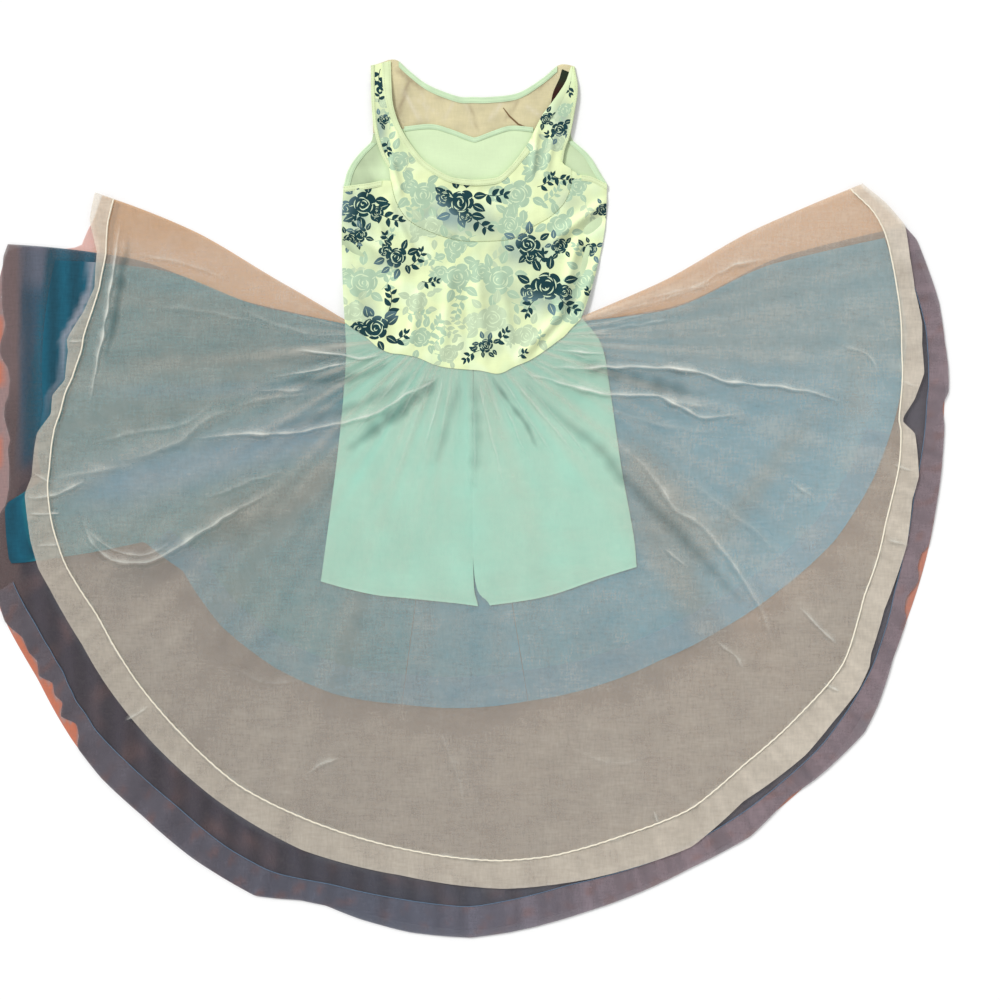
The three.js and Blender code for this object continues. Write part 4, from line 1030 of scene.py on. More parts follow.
def crease_strip(points, half_width, height, brightness):
    """Vertices, quads and looks of one pinched ridge lying on the overskirt, the looks being its
    painted highlight and painted shade.
    """
    path = spline(points, spacing=3)
    side = sides_of(path)
    if path[-1, 0] < path[0, 0]:
        side = -side
    part = np.linspace(0, 1, len(path))
    taper = np.clip(np.minimum(part, 1 - part) * 4, 0, 1) ** 0.8
    uneven = 1 + 0.3 * field(path[:, 0], path[:, 1], 26, 46)
    path = path + side * (0.9 * field(path[:, 0], path[:, 1], 30, 47))[:, None]
    rows, looks = [], []
    for place, light, shade in CREASE_SECTION:
        at = path + side * (place * half_width * (0.5 + 0.5 * taper) * uneven)[:, None]
        base = overskirt_height_at(at[:, 0], at[:, 1])
        rows.append(np.column_stack([at, base + 0.1 + height * light * taper]))
        if brightness < 0:
            light, shade = 0, (1 - abs(place)) ** 1.3
        colour = CREASE_SHADE if shade else CREASE_LIGHT
        cover = np.clip(abs(brightness) * (light + shade) * taper * uneven, 0, 1)
        looks.append(rgba(colour, cover, (len(path),)))
    top = np.stack(rows, 1).reshape(-1, 3)
    return top, grid_faces(len(path), len(rows))[:, ::-1], np.stack(looks, 1).reshape(-1, 4)


def joined_strips(name, strips):
    """One mesh of many strips."""
    faces, start = [], 0
    for top, quads, _ in strips:
        faces.extend((quads + start).tolist())
        start += len(top)
    tops, _, looks = zip(*strips)
    return finish_mesh(name, np.vstack(tops), faces, np.vstack(looks))


def make_ivory():
    fan = FANS["ivory"]
    alongs = to_hem(np.linspace(0, 0.12, 14), np.linspace(0.12, 1, 76)[1:])
    angle, along, x, y = fan_grid(fan, whole(fan), 0.55, alongs, tucked_waist)
    on_shorts = smooth(20, -30, past_shorts(x, y))
    outer = smooth(0, 60, np.hypot(x, y) - look_up(BLUE_HEM, bearing(x, y)))
    pleats = long_pleats(angle, 48)
    gathers = 0.07 * pleats * smooth(0.5, 0.02, along) + 0.025 * pleats
    cover = 0.30 + 0.08 * outer - 0.08 * on_shorts + 0.03 * smooth(0.22, 0.0, along) + gathers
    cover = cover + 0.014 * field(x, y, 110, 41) + 0.022 * field(x, y, 30, 42)
    # Painted shade: the overskirt darker to the left and at the bottom right.
    shade = 1 - 0.16 * leftness(x) + 0.02 * field(x, y, 150, 43)
    shade = shade - 0.06 * smooth(-260, -420, y) * (1 - leftness(x))
    piece = sheer_sheet("ivory_overskirt_cloth", "ivory_organza", "ivory_overskirt", x, y,
                        overskirt_top(x, y, angle, along), IVORY * shade[..., None], cover)

    angle, along, x, y = fan_grid(fan, whole(fan), 0.4, FOLD_ROWS, tucked_waist)
    z = overskirt_top(x, y, angle, along) + LAYER - 0.2 + 0.3 * field(x, y, 26, 44)
    # Painted shade: the hem fold darker to the left and across its small pleats. It is also
    # lighter at its top-left end.
    shade = 0.98 - 0.2 * leftness(x + 150) + 0.04 * hem_tucks(angle, 49)
    shade = shade + 0.2 * smooth(60, 110, y) * leftness(x)
    cover = 0.42 + 0.05 * field(x, y, 40, 45) + 0.05 * hem_tucks(angle, 50)
    cover = cover + 0.13 * smooth(200, 450, x) + 0.1 * smooth(60, 110, y)
    band = sheer_sheet("ivory_hem_fold", "ivory_organza", "ivory_hem_band", x, y, z,
                       IVORY * shade[..., None], cover)

    angles = np.linspace(*whole(fan), 700)
    ones = np.ones_like(angles)
    line_x, line_y = fan_place(fan, angles, ones, tucked_waist)
    line_z = overskirt_top(line_x, line_y, angles, ones) + LAYER + 0.5
    wobble = 0.35 * np.sin(np.arange(len(angles)) * 1.9)
    cord = tubes("ivory_hem_cord", [stacked(line_x, line_y + wobble, line_z)], 1.0)
    dress_up(cord, CREAM_THREAD)

    # The overlock swell along the cord, laid as a crease strip with its painted highlight and
    # shade.
    overlock = np.column_stack([line_x, line_y])[::6]
    rows = CREASES + gather_lines() + [(overlock, 4.2, 0.2, 0.5)]
    creases = joined_strips("ivory_creases", [crease_strip(*row) for row in rows])
    dress_up(creases, ORGANZA_CLOTH)
    return piece, band, cord, creases


# Shorts

def on_edge(points, parts):
    """Points at parts of the length of a smooth edge."""
    fine = spline(points, spacing=3)
    run = run_along(fine)
    return sampled(fine, run, parts * run[-1])


def between_edges(leg, u, v):
    """Grid of points inside a leg's four edges."""
    waist, hem = on_edge(leg["waist"], u), on_edge(leg["hem"], u)
    start, end = on_edge(leg["start"], v), on_edge(leg["end"], v)
    uu, vv = u[:, None, None], v[None, :, None]
    ruled = mix(waist[:, None], hem[:, None], vv) + mix(start[None], end[None], uu)
    corners = mix(mix(waist[0], waist[-1], uu), mix(hem[0], hem[-1], uu), vv)
    return ruled - corners


def make_shorts():
    pieces = []
    u, v = np.linspace(0, 1, 46), np.linspace(0, 1, 64)
    for side, leg in LEG_EDGES.items():
        grid = between_edges(leg, u, v)
        x, y = grid[..., 0], grid[..., 1]
        from_hem = (1 - v)[None, :] * LEG_LENGTH
        away = np.minimum(np.minimum(u, 1 - u)[:, None] * LEG_WIDTH, from_hem)
        edge = 0.5 * np.exp(-(away / 3) ** 2)
        hem_step = 0.35 * smooth(21, 18, from_hem)
        drape = 0.3 * field(x, y, 70, 51) + 0.12 * field(x, y, 25, 52)
        # Painted shade: the legs darker towards the waist and in faint streaks. The colour is also
        # paler along the hem's last few millimetres.
        shade = 0.16 * smooth(-140, -40, y) + 0.03 * np.abs(field(x, 0.2 * y, 40, 54))
        shade = shade - 0.14 * smooth(3, 1.5, from_hem)
        colour = MINT * (1 - shade + 0.03 * field(x, y, 60, 53))[..., None]
        looks = rgba(colour, 1, x.shape).reshape(-1, 4)
        for half in ("back", "front"):
            name = f"shorts_{half}_{side}_leg"
            front = half == "front"
            rise = WAIST_TUCK if front else -HIDDEN_SEAM
            drop = 0 * x if front else np.maximum(0, back_waist(x) - front_waist(x))
            z = LEVEL["shorts_" + half] + WALL - 0.1 - edge
            if front:
                z = z + (hem_step + drape * 0.5)
            top = stacked(x, y + (drop + rise) * (1 - v)[None, :], z)
            piece = shell(name + "_cloth", top, grid_faces(*x.shape), KNIT, looks)
            pieces.append(dress_up(piece, KNIT_CLOTH, [name]))
    return pieces


# Bodice

def front_height(x, y):
    """Underside of the bodice front."""
    (low_x, low_y), (high_x, high_y) = RIGHT_SIDE[0], RIGHT_SIDE[-1]
    lean = (high_x - low_x) / (high_y - low_y)
    right_seam = low_x + lean * (y - low_y)
    inset = np.minimum(x - LEFT_SIDE[-1][0] + 3, right_seam - x)
    loose = LEVEL["front"] + FRONT_CROWN * smooth(0, CROWN_RUN, inset)
    over_waist = smooth(WAIST_RISE[0], WAIST_RISE[1], y - front_waist(x))
    at_shoulder = smooth(SHOULDER_DROP[0], SHOULDER_DROP[1], y)
    return mix(mix(loose, LEVEL["bodice_edge"], over_waist), LEVEL["lining"], at_shoulder)


def inside_polygon(x, y, loop):
    """Which points lie inside a closed loop."""
    result = np.zeros(np.shape(x), bool)
    for (x1, y1), (x2, y2) in zip(loop, np.roll(loop, -1, axis=0)):
        crosses = (y1 > y) != (y2 > y)
        with np.errstate(divide="ignore", invalid="ignore"):
            at = (x2 - x1) * (y - y1) / (y2 - y1) + x1
        result ^= crosses & (x < at)
    return result


def edge_distance(x, y, loop):
    """Distance from points to a closed loop."""
    best = np.full(np.shape(x), np.inf)
    for (x1, y1), (x2, y2) in zip(loop, np.roll(loop, -1, axis=0)):
        run_x, run_y = x2 - x1, y2 - y1
        length = max(run_x ** 2 + run_y ** 2, 1e-9)
        t = np.clip(((x - x1) * run_x + (y - y1) * run_y) / length, 0, 1)
        best = np.minimum(best, np.hypot(x - x1 - t * run_x, y - y1 - t * run_y))
    return best


def wound(loop):
    """The loop, anticlockwise."""
    loop = np.asarray(loop, float)
    x, y = loop[:, 0], loop[:, 1]
    area = np.sum(x * np.roll(y, -1) - np.roll(x, -1) * y)
    return loop if area > 0 else loop[::-1]


def outline_of(*edges, spacing=4.0):
    """Closed anticlockwise outline of smooth edges, joined end to end."""
    parts = [spline(edge, spacing=spacing)[:-1] for edge in edges]
    return wound(np.vstack(parts))


def cut_panel(outline, spacing, motifs=()):
    """Triangles of a panel with the motifs' outlines cut into it, and the last motif on each."""
    low, high = outline.min(0), outline.max(0)
    gx, gy = np.meshgrid(np.arange(low[0], high[0], spacing), np.arange(low[1], high[1], spacing))
    gx = gx + (np.arange(gx.shape[0]) % 2)[:, None] * spacing / 2
    keep = inside_polygon(gx, gy, outline) & (edge_distance(gx, gy, outline) > 0.45 * spacing)
    rings = [outline] + [loop for loop, _ in motifs]
    ends = np.cumsum([len(ring) for ring in rings])
    loops = [list(range(end - len(ring), end)) for ring, end in zip(rings, ends)]
    points = np.vstack(rings + [np.column_stack([gx[keep], gy[keep]])])
    found = delaunay_2d_cdt([Vector(p) for p in points], [], loops, 1, 1e-5, True)
    places = np.array([tuple(p) for p in found[0]])
    inner = [(face, max(origins)) for face, origins in zip(found[2], found[5]) if 0 in origins]
    faces, paints = zip(*inner)
    used, faces = np.unique(np.array(faces), return_inverse=True)
    return places[used], faces.reshape(-1, 3), np.array(paints)


def flat_panel(name, outline, spacing, height, thickness, look):
    """Closed shell on an outline, with its height and look given by place."""
    places, faces, _ = cut_panel(outline, spacing)
    x, y = places.T
    roll = 0.5 * np.exp(-(edge_distance(x, y, outline) / 2) ** 2)
    return shell(name, stacked(x, y, height(x, y) - roll), faces, thickness, look(x, y))


def front_stops(row):
    """Parts of a front section where its rim ends and its armhole binding starts and ends."""
    length = math.hypot(row[2] - row[0], row[3] - row[1])
    rim = min(row[4], 0.45 * length) / length
    edge = min(ARMHOLE_BINDING, 0.25 * length) / length
    end = 1 - SEAM_PULL / length
    return rim, end - edge, end


def across_front(rows, stop):
    """Points at one stop of the given front sections: 0 is the neck edge, 3 the outer edge."""
    points = []
    for row in rows:
        part = (0, *front_stops(row))[stop]
        points.append((mix(row[0], row[2], part), mix(row[1], row[3], part)))
    return points


def ribbon(name, first, second, base, colour, height=0.7, columns=9):
    """Rounded strip of binding between two edges, lying on a height given by place."""
    a, b = spline(first, count=len(first)), spline(second, count=len(second))
    parts = np.linspace(0, 1, columns)
    grid = mix(a[:, None], b[:, None], parts[None, :, None])
    x, y = grid[..., 0], grid[..., 1]
    bulge = (1 - np.abs(2 * parts - 1) ** 3)[None, :]
    top = stacked(x, y, base(x, y) + height * (0.35 + 0.65 * bulge))
    faces = grid_faces(*x.shape)
    if np.cross(b[0] - a[0], a[1] - a[0]) < 0:
        faces = faces[:, ::-1]
    thick = np.broadcast_to(0.25 + (height - 0.1) * bulge, x.shape).ravel()
    tone = 1 + 0.05 * field(top[:, 0], top[:, 1], 18, 61)
    return shell(name, top, faces, thick, rgba(colour * tone[:, None], 1, (len(top),)))


def bindings(rows, colour, shares):
    """Ribbons between pairs of edges, each with lines of stitches at shares of its width.
    rows: name, first edge, second edge, height by place, node."""
    trims, seams = [], []
    for name, first, second, base, node in rows:
        count = max(8, int(run_along(first)[-1] / 3))
        first, second = spline(first, count=count), spline(second, count=count)
        band = ribbon(name, first, second, base, colour)
        trims.append(dress_up(band, KNIT_CLOTH, [node]))
        for share in shares:
            seams += stitches(mix(first, second, share), base, 0.75)
    return trims, seams


def moved(points, right, up):
    """The points, shifted."""
    return [(x + right, y + up) for x, y in points]


# Floral print. Every motif is worked out here; a loop is an outline in the tables' places.

DARK = from_srgb(20, 58, 64)
STEEL = from_srgb(110, 140, 148)
SAGE = from_srgb(170, 196, 168)
GREY_SAGE = from_srgb(186, 204, 172)
LINE = from_srgb(206, 224, 188)


def turned(loop, x, y, turn):
    """The loop, turned and moved to a place."""
    c, s = math.cos(turn), math.sin(turn)
    return np.column_stack([x + loop[:, 0] * c - loop[:, 1] * s,
                            y + loop[:, 0] * s + loop[:, 1] * c])


def leaf(x, y, turn, length, width, bend=0.0):
    """Outline of a pointed oval leaf from its stalk end."""
    t = np.linspace(0, 1, 9)
    body = np.sin(math.pi * t ** 0.8) ** 0.85 * width / 2
    line = bend * length * t * (1 - t)
    upper = np.column_stack([t * length, line + body])
    lower = np.column_stack([t * length, line - body])[1:-1][::-1]
    return turned(np.vstack([upper, lower]), x, y, turn)


def arc(x, y, start, sweep, radius, thick):
    """Outline of a thin curved line that swells in its middle."""
    t = np.linspace(0, 1, 8)
    angle = start + sweep * t
    swell = thick * np.sin(math.pi * t)
    around = np.column_stack([np.cos(angle), np.sin(angle)])
    out, back = around * (radius + swell / 2)[:, None], around * (radius - swell / 2)[:, None]
    return np.vstack([out, back[1:-1][::-1]]) + [x, y]


def scallop(x, y, size, turn, petals):
    """Outline of an open rose: petal edges round an uneven ring."""
    t = np.linspace(0, 2 * math.pi, 7 * petals, endpoint=False)
    edge = 0.86 + 0.14 * np.abs(np.sin(petals * t / 2)) ** 0.6
    edge *= 1 + 0.09 * np.sin(2 * t + 3 * turn) + 0.05 * np.sin(3 * t + turn)
    return turned(np.column_stack([np.cos(t), np.sin(t)]) * (size * edge)[:, None], x, y, turn)


def rose(x, y, size, turn, paint, line, petals=6):
    """Stencil rose: a dark body, split by thin pale lines into curled petals."""
    loops = [(scallop(x, y, size, turn, petals), paint)]
    for k in range(petals):
        angle = turn + 2 * math.pi * k / petals
        start = (x + 0.66 * size * math.cos(angle), y + 0.66 * size * math.sin(angle))
        loops.append((leaf(*start, angle + 0.25, 0.34 * size, 0.07 * size), line))
    pick = np.random.default_rng(int(size * 100 + turn * 1000))
    for ring, count, sweep in ((0.72, 4, 1.2), (0.50, 3, 1.5), (0.30, 2, 2.2), (0.12, 1, 3.8)):
        for k in range(count):
            start = turn * 1.7 + ring * 5 + 2 * math.pi * k / count + pick.uniform(-0.3, 0.3)
            lean, shift = pick.uniform(0, 6.3), size * pick.uniform(0.04, 0.16)
            loops.append((arc(x + shift * math.cos(lean), y + shift * math.sin(lean), start,
                              sweep * pick.uniform(0.7, 1.2), ring * size * pick.uniform(0.85, 1),
                              0.09 * size), line))
    return loops


def stalk_loop(points, width):
    """Outline of a thin stalk along some points."""
    line = spline(points, count=2 * len(points))
    side = sides_of(line) * width / 2
    return np.vstack([line + side, (line - side)[::-1]])


def spray(x, y, turn, count, size, paint, curl=0.14, spread=0.95):
    """Curved stalk with leaves on alternate sides that shrink towards its tip."""
    loops, stalk = [], [(x, y)]
    for k in range(count):
        share = 1 - 0.45 * k / count
        step = 0.5 * size * share
        x, y = x + step * math.cos(turn), y + step * math.sin(turn)
        stalk.append((x, y))
        side = 1 if k % 2 else -1
        loops.append((leaf(x, y, turn + side * spread, 1.05 * size * share,
                           0.54 * size * share, 0.25 * side), paint))
        turn += curl
    loops.append((leaf(x, y, turn, size * 0.75, 0.32 * size), paint))
    loops.append((stalk_loop(stalk, 0.9), paint))
    return loops


def split_leaf(x, y, turn, length, width, paint, line):
    """Large leaf with a pale middle vein."""
    vein = leaf(x + 0.12 * length * math.cos(turn), y + 0.12 * length * math.sin(turn), turn,
                0.72 * length, 0.07 * width, 0.05)
    return [(leaf(x, y, turn, length, width, 0.08), paint), (vein, line)]


def cluster(x, y, size, turn, roses, leaves, paint, line, seed):
    """Roses side by side, with leaves that point away from them."""
    pick = np.random.default_rng(seed)
    loops = []
    for k in range(leaves):
        angle = turn + 2 * math.pi * (k + pick.uniform(-0.25, 0.25)) / leaves
        reach = size * pick.uniform(0.85, 1.25)
        length = min(18, max(7, size * pick.uniform(0.85, 1.2)))
        loops += split_leaf(x + reach * math.cos(angle), y + reach * math.sin(angle),
                            angle + pick.uniform(-0.7, 0.7), length, 0.58 * length, paint, line)
    for k in range(1, roses):
        angle = turn + 2.3 * k
        loops += rose(x + 1.25 * size * math.cos(angle), y + 1.05 * size * math.sin(angle),
                      size * (0.72 - 0.1 * k), turn + k, paint, line, 5)
    return loops + rose(x, y, size, turn, paint, line)


# Dark clusters: x, y, size, turn, roses, leaves, way of the haze, its strength
DARK_CLUSTERS = [
    (-12, 158, 17, 0.4, 3, 9, -2.3, 0.85), (-134, 156, 17, 1.1, 3, 9, 2.8, 0.7),
    (-92, 90, 13, 0.2, 2, 8, -2.2, 0.6), (-118, 2, 16, 0.9, 2, 9, 1.4, 0.6),
    (72, 106, 15, 2.6, 2, 6, 2.2, 0.85), (96, 54, 19, 1.3, 3, 7, -1.8, 0.8),
    (112, 104, 10, 0.7, 1, 5, 2.6, 0.6), (-138, 118, 10, 0.5, 1, 6, 2.0, 0.7),
    (20, -20, 9, 0.3, 1, 8, 1.8, 0.5), (-150, 112, 9, 0.8, 1, 4, -1.2, 0.9),
    (166, 150, 8, 0.5, 1, 4, 2.4, 0.6), (-108, 262, 7, 0.6, 1, 3, 1.6, 0.95),
    (112, 250, 10, 0.9, 1, 4, -1.5, 0.9), (150, 100, 9, 0.4, 1, 5, -0.6, 0.9),
]
# Dark sprays: x, y, turn, leaves, size
DARK_SPRAYS = [
    (16, 170, -0.3, 5, 13), (6, 140, -0.9, 4, 13), (-116, 150, -0.8, 6, 13),
    (-78, 78, 0.5, 6, 11), (-100, 106, 1.9, 3, 10), (-104, 18, 1.1, 6, 13),
    (-132, -2, -2.6, 3, 10), (-96, -14, 0.3, 4, 11), (86, 82, 1.1, 3, 11),
    (112, 40, -0.9, 5, 12), (80, 36, -2.3, 4, 11), (12, -26, -2.8, 5, 10),
    (30, -16, 0.5, 5, 10), (84, 178, 0.3, 6, 10), (104, 192, -0.5, 5, 10),
    (-112, 326, -1.8, 4, 12), (-120, 316, -1.2, 3, 11), (126, 310, -1.9, 4, 9),
    (-152, 134, 0.2, 3, 9), (148, 34, 1.4, 4, 9), (-102, 236, -1.8, 4, 9),
    (104, 236, 2.2, 3, 8), (-114, 284, 1.4, 3, 8), (60, -34, 0.5, 3, 8), (-60, 60, -0.2, 5, 9),
]
# Pale clusters: x, y, size, turn, roses, leaves
PALE_CLUSTERS = [
    (36, 62, 19, 0.3, 2, 6), (28, 14, 18, 1.0, 2, 5), (-16, 66, 17, 0.6, 2, 5),
    (-134, 58, 19, 0.4, 2, 5), (-144, 22, 14, 1.2, 1, 4), (-58, 168, 17, 0.2, 2, 6),
    (58, 168, 19, 0.8, 2, 6), (-48, 128, 15, 1.1, 2, 5), (142, 62, 14, 0.5, 1, 5),
    (128, 22, 15, 0.2, 1, 5), (70, -8, 15, 0.9, 2, 4), (-18, 104, 15, 0.1, 1, 5),
    (112, 130, 15, 0.7, 1, 5), (-66, 34, 13, 0.5, 1, 6), (-90, 210, 13, 0.3, 1, 4),
    (86, 212, 15, 0.6, 2, 4), (108, 232, 11, 1.0, 1, 4), (-110, 230, 11, 0.4, 1, 4),
    (-62, -10, 13, 0.8, 1, 5), (-26, -30, 12, 0.2, 1, 5), (50, 130, 15, 0.9, 1, 6),
    (134, 178, 12, 0.4, 1, 5), (-106, 284, 8, 0.4, 1, 3), (118, 274, 9, 0.2, 1, 3),
]
# Pale sprays: x, y, turn, leaves, size
PALE_SPRAYS = [
    (-38, 20, -1.3, 7, 12), (-54, -8, 0.6, 6, 11), (-18, 36, 0.9, 6, 12), (0, -6, 2.0, 6, 11),
    (-80, 22, -0.4, 6, 11), (52, 34, -0.4, 6, 12), (20, 84, 0.3, 7, 12), (-34, 84, 2.8, 6, 11),
    (-110, 50, 0.8, 7, 12), (-148, 82, -0.9, 6, 11), (-74, 130, 1.3, 6, 11),
    (84, 158, 0.2, 7, 11), (36, 140, -0.3, 7, 11), (100, 10, 1.0, 6, 11), (142, 84, 1.7, 6, 10),
    (-84, 196, 0.9, 5, 11), (76, 190, 1.6, 5, 10), (-100, 250, 1.5, 5, 9), (108, 256, 1.8, 5, 9),
    (-44, -30, -0.2, 5, 10), (84, -20, 1.1, 4, 9), (58, 2, -2.2, 5, 10), (-118, 110, 0.2, 6, 10),
    (8, 118, -2.8, 6, 11), (144, 160, -1.4, 5, 10), (-4, 42, -2.4, 6, 11),
    (-24, -6, -2.9, 6, 11), (-48, 44, 1.1, 7, 11),
]
# Airbrushed patches: x, y, half width, half height, strength
HAZE = [
    (-30, 140, 44, 20, 0.8), (20, 130, 34, 14, 0.5), (-142, 146, 26, 34, 0.6),
    (-100, 84, 30, 14, 0.35), (-128, 20, 18, 22, 0.4), (66, 96, 34, 20, 0.65),
    (100, 40, 38, 20, 0.65), (24, -24, 20, 10, 0.4), (-112, 250, 9, 24, 0.7),
    (116, 264, 11, 26, 0.6), (126, 160, 22, 14, 0.35), (-140, 60, 20, 22, 0.35),
    (40, 50, 34, 20, 0.3), (30, 10, 32, 16, 0.25),
]


def fading(x0, y0, size, way, strength):
    """Look that fades from dark to steel on one side of a cluster."""
    def look(x, y):
        run = ((x - x0) * math.cos(way) + (y - y0) * math.sin(way)) / size
        return rgba(blend(DARK, STEEL, smooth(0.1, 1.6, run) * strength), 1, np.shape(x))
    return look


def print_motifs():
    """Every motif as an outline and a function that colours its points, palest first."""
    made = []
    sage, grey, line, dark = plain(SAGE), plain(GREY_SAGE), plain(LINE), plain(DARK)
    for k, row in enumerate(PALE_SPRAYS):
        made += spray(*row, sage if k % 3 else grey)
    for k, row in enumerate(PALE_CLUSTERS):
        made += cluster(*row, grey if k % 3 == 1 else sage, line, 200 + k)
    for row in DARK_SPRAYS:
        made += spray(*row, dark)
    for k, (x0, y0, size, turn, roses, leaves, way, strength) in enumerate(DARK_CLUSTERS):
        look = fading(x0, y0, size, way, strength)
        made += cluster(x0, y0, size, turn, roses, leaves, look, line, 300 + k)
    return made


def print_ground(x, y):
    """Pale lime ground, clouded with mint and with the airbrushed haze."""
    colour = GROUND * (1 + 0.04 * field(x, y, 60, 71))[..., None]
    colour = blend(colour, from_srgb(230, 246, 208), 0.6 * smooth(0, 1, field(x, y, 45, 72)))
    colour = blend(colour, from_srgb(196, 220, 180), 0.35 * smooth(0, 1, field(x, y, 50, 73)))
    for x0, y0, wide, high, strength in HAZE:
        near = np.exp(-(((x - x0) / wide) ** 2 + ((y - y0) / high) ** 2))
        colour = blend(colour, STEEL, near * strength)
    return rgba(np.clip(colour, 0, 1), 1, np.shape(x))


MOTIFS = print_motifs()


def touches(loop, low, high):
    """Whether a loop may reach into a box."""
    return (loop.min(0) < high).all() and (loop.max(0) > low).all()


def printed_panel(name, outline, spacing, height, motifs=None, ground=print_ground,
                  thickness=KNIT, shade=None):
    """Closed shell of knit or net, with the motifs cut into its faces."""
    low, high = outline.min(0), outline.max(0)
    here = [m for m in (MOTIFS if motifs is None else motifs) if touches(m[0], low, high)]
    here = [(wound(loop), paint) for loop, paint in here]
    places, faces, paints = cut_panel(outline, spacing, here)
    x, y = places.T
    roll = 0.8 * np.exp(-(edge_distance(x, y, outline) / 2.2) ** 2)
    top = stacked(x, y, np.maximum(height(x, y) - roll, thickness))
    corner_x, corner_y = x[faces], y[faces]
    looks = ground(corner_x, corner_y)
    for index in np.unique(paints[paints > 0]):
        chosen = paints == index
        looks[chosen] = here[index - 1][1](corner_x[chosen], corner_y[chosen])
    if shade:
        looks[..., :3] *= shade(corner_x, corner_y)[..., None]
    return shell(name, top, faces, thickness, looks)


# Folds of the bodice front: height, then x1, y1, x2, y2, width
BODICE_FOLDS = [
    (3.6, (-156, 128, -78, 74, 6)), (-2.4, (-158, 112, -92, 62, 7)),
    (3.0, (-104, 162, -72, 100, 5)), (2.4, (-140, 176, -108, 120, 5)),
    (2.6, (-98, 212, -86, 170, 4)), (3.2, (104, 112, 168, 160, 6)),
    (-2.4, (112, 100, 166, 140, 7)), (3.0, (136, 120, 112, 20, 6)),
    (-2.0, (148, 110, 128, 14, 6)), (2.6, (118, 22, 62, -36, 6)),
    (-2.0, (128, 30, 80, -30, 6)), (2.0, (158, 84, 138, 30, 5)),
    (2.0, (-24, 70, -34, -30, 7)), (1.8, (10, 80, 18, -36, 6)), (-1.6, (-6, 60, -4, -34, 6)),
    (2.0, (-150, 60, -128, 4, 7)), (1.6, (-62, 50, -74, -20, 6)), (1.6, (-100, 50, -108, -10, 6)),
    (1.6, (38, 70, 52, -20, 6)), (2.4, (84, 250, 78, 196, 4)), (1.8, (104, 240, 96, 200, 4)),
    (1.4, (-94, 280, -88, 226, 4)), (-1.6, (-30, 176, 40, 172, 8)), (1.8, (-50, 140, -20, 118, 6)),
]


def front_relief(x, y):
    """Height of the bodice front's drags and wrinkles."""
    folds = sum(high * ridge(x, y, *line) for high, line in BODICE_FOLDS)
    return folds + 0.3 * field(x, y, 45, 81) + 0.14 * field(x, y, 16, 82)


def front_top(x, y):
    """Upper face of the bodice front."""
    settled = smooth(0, 25, y - front_waist(x))
    return front_height(x, y) + WALL - 0.1 + front_relief(x, y) * settled


def front_shade(x, y):
    """Painted light and shade on the front's relief: paler where it faces up and left, darker
    where it faces away.
    """
    step = 1.5
    rise = front_relief(x + step, y - step) - front_relief(x - step, y + step)
    return 1 + np.clip(0.15 * rise, -0.26, 0.12)


def over_front(x, y):
    """Height on which the front's bindings lie."""
    return front_height(x, y) + LAYER


def make_front():
    neck, rim, inner, outer = [across_front(FRONT, stop) for stop in range(4)]
    bust_outline = outline_of(neck, [neck[-1], outer[-1]], outer[::-1], [outer[0], neck[0]])
    bust = printed_panel("front_bust_cloth", bust_outline, 3.2, front_top, shade=front_shade)
    dress_up(bust, KNIT_CLOTH, ["front_bust_panel"])

    seam = [(row[2], row[3]) for row in BUST]
    lower_outline = outline_of(UNDERARM_LEFT + seam[:1], seam, seam[-1:] + UNDERARM_RIGHT[1:],
                               RIGHT_SIDE[::-1], FRONT_WAIST[::-1], LEFT_SIDE[::-1])
    lower = printed_panel("front_lower_cloth", lower_outline, 3.2, front_top, shade=front_shade)
    dress_up(lower, KNIT_CLOTH, ["front_lower_panel"])

    left, right = len(LEFT_STRAP), len(LEFT_STRAP) + len(BUST)
    underarm_right = UNDERARM_RIGHT[1:]
    trims, seams = bindings([
        (name + "_band", first, second, over_front, name + "_binding")
        for name, first, second in (
            ("front_neck", neck[:TURN_ROW], rim[:TURN_ROW]),
            ("left_front_armhole", inner[:left], outer[:left]),
            ("right_front_armhole", inner[right:], outer[right:]),
            ("left_underarm", UNDERARM_LEFT, moved(UNDERARM_LEFT, 0, -UNDERARM_BINDING)),
            ("right_underarm", underarm_right, moved(underarm_right, 0, -UNDERARM_BINDING)),
        )], TRIM, (0.22, 0.78))
    turned_outline = outline_of(neck[TURN_ROW:], [neck[-1], rim[-1]], rim[TURN_ROW:][::-1],
                                [rim[TURN_ROW], neck[TURN_ROW]])
    flower = cluster(96, 263, 8, 0.4, 1, 5, plain(DARK), plain(LINE), 77)
    flap = printed_panel("right_strap_turned_band", turned_outline, 3,
                         lambda x, y: over_front(x, y) + 0.7, flower, thickness=0.5)
    trims.append(dress_up(flap, KNIT_CLOTH, ["right_strap_turned_edge"]))
    seams += stitches(spline(seam, spacing=3), front_top, -0.3)
    thread = tubes("front_stitches", seams, STITCH_RADIUS, 4)
    trims.append(dress_up(thread, LIME_THREAD))
    return bust, lower, trims


# Painted light and shade of the mesh's folds: x1, y1, x2, y2, width, painted highlight above 0 and
# painted shade below
MESH_FOLD_PAINTED_LIGHT = [
    (-84, 300, -62, 262, 2.5, 0.8), (-76, 312, -90, 268, 2.5, -0.55), (-60, 298, -52, 262, 2, 0.5),
    (-20, 286, -34, 262, 2, 0.6), (40, 284, 24, 262, 2.5, 0.7), (60, 286, 44, 262, 2, -0.4),
    (70, 280, 96, 262, 2.5, 0.7), (-92, 326, -58, 300, 3, -0.5), (84, 300, 104, 322, 3, -0.5),
    (0, 280, 10, 250, 2, -0.35), (-50, 292, 60, 286, 3, -0.3),
    (-8, 286, 4, 256, 1.6, 0.5), (-70, 290, -40, 270, 1.6, 0.5),
]


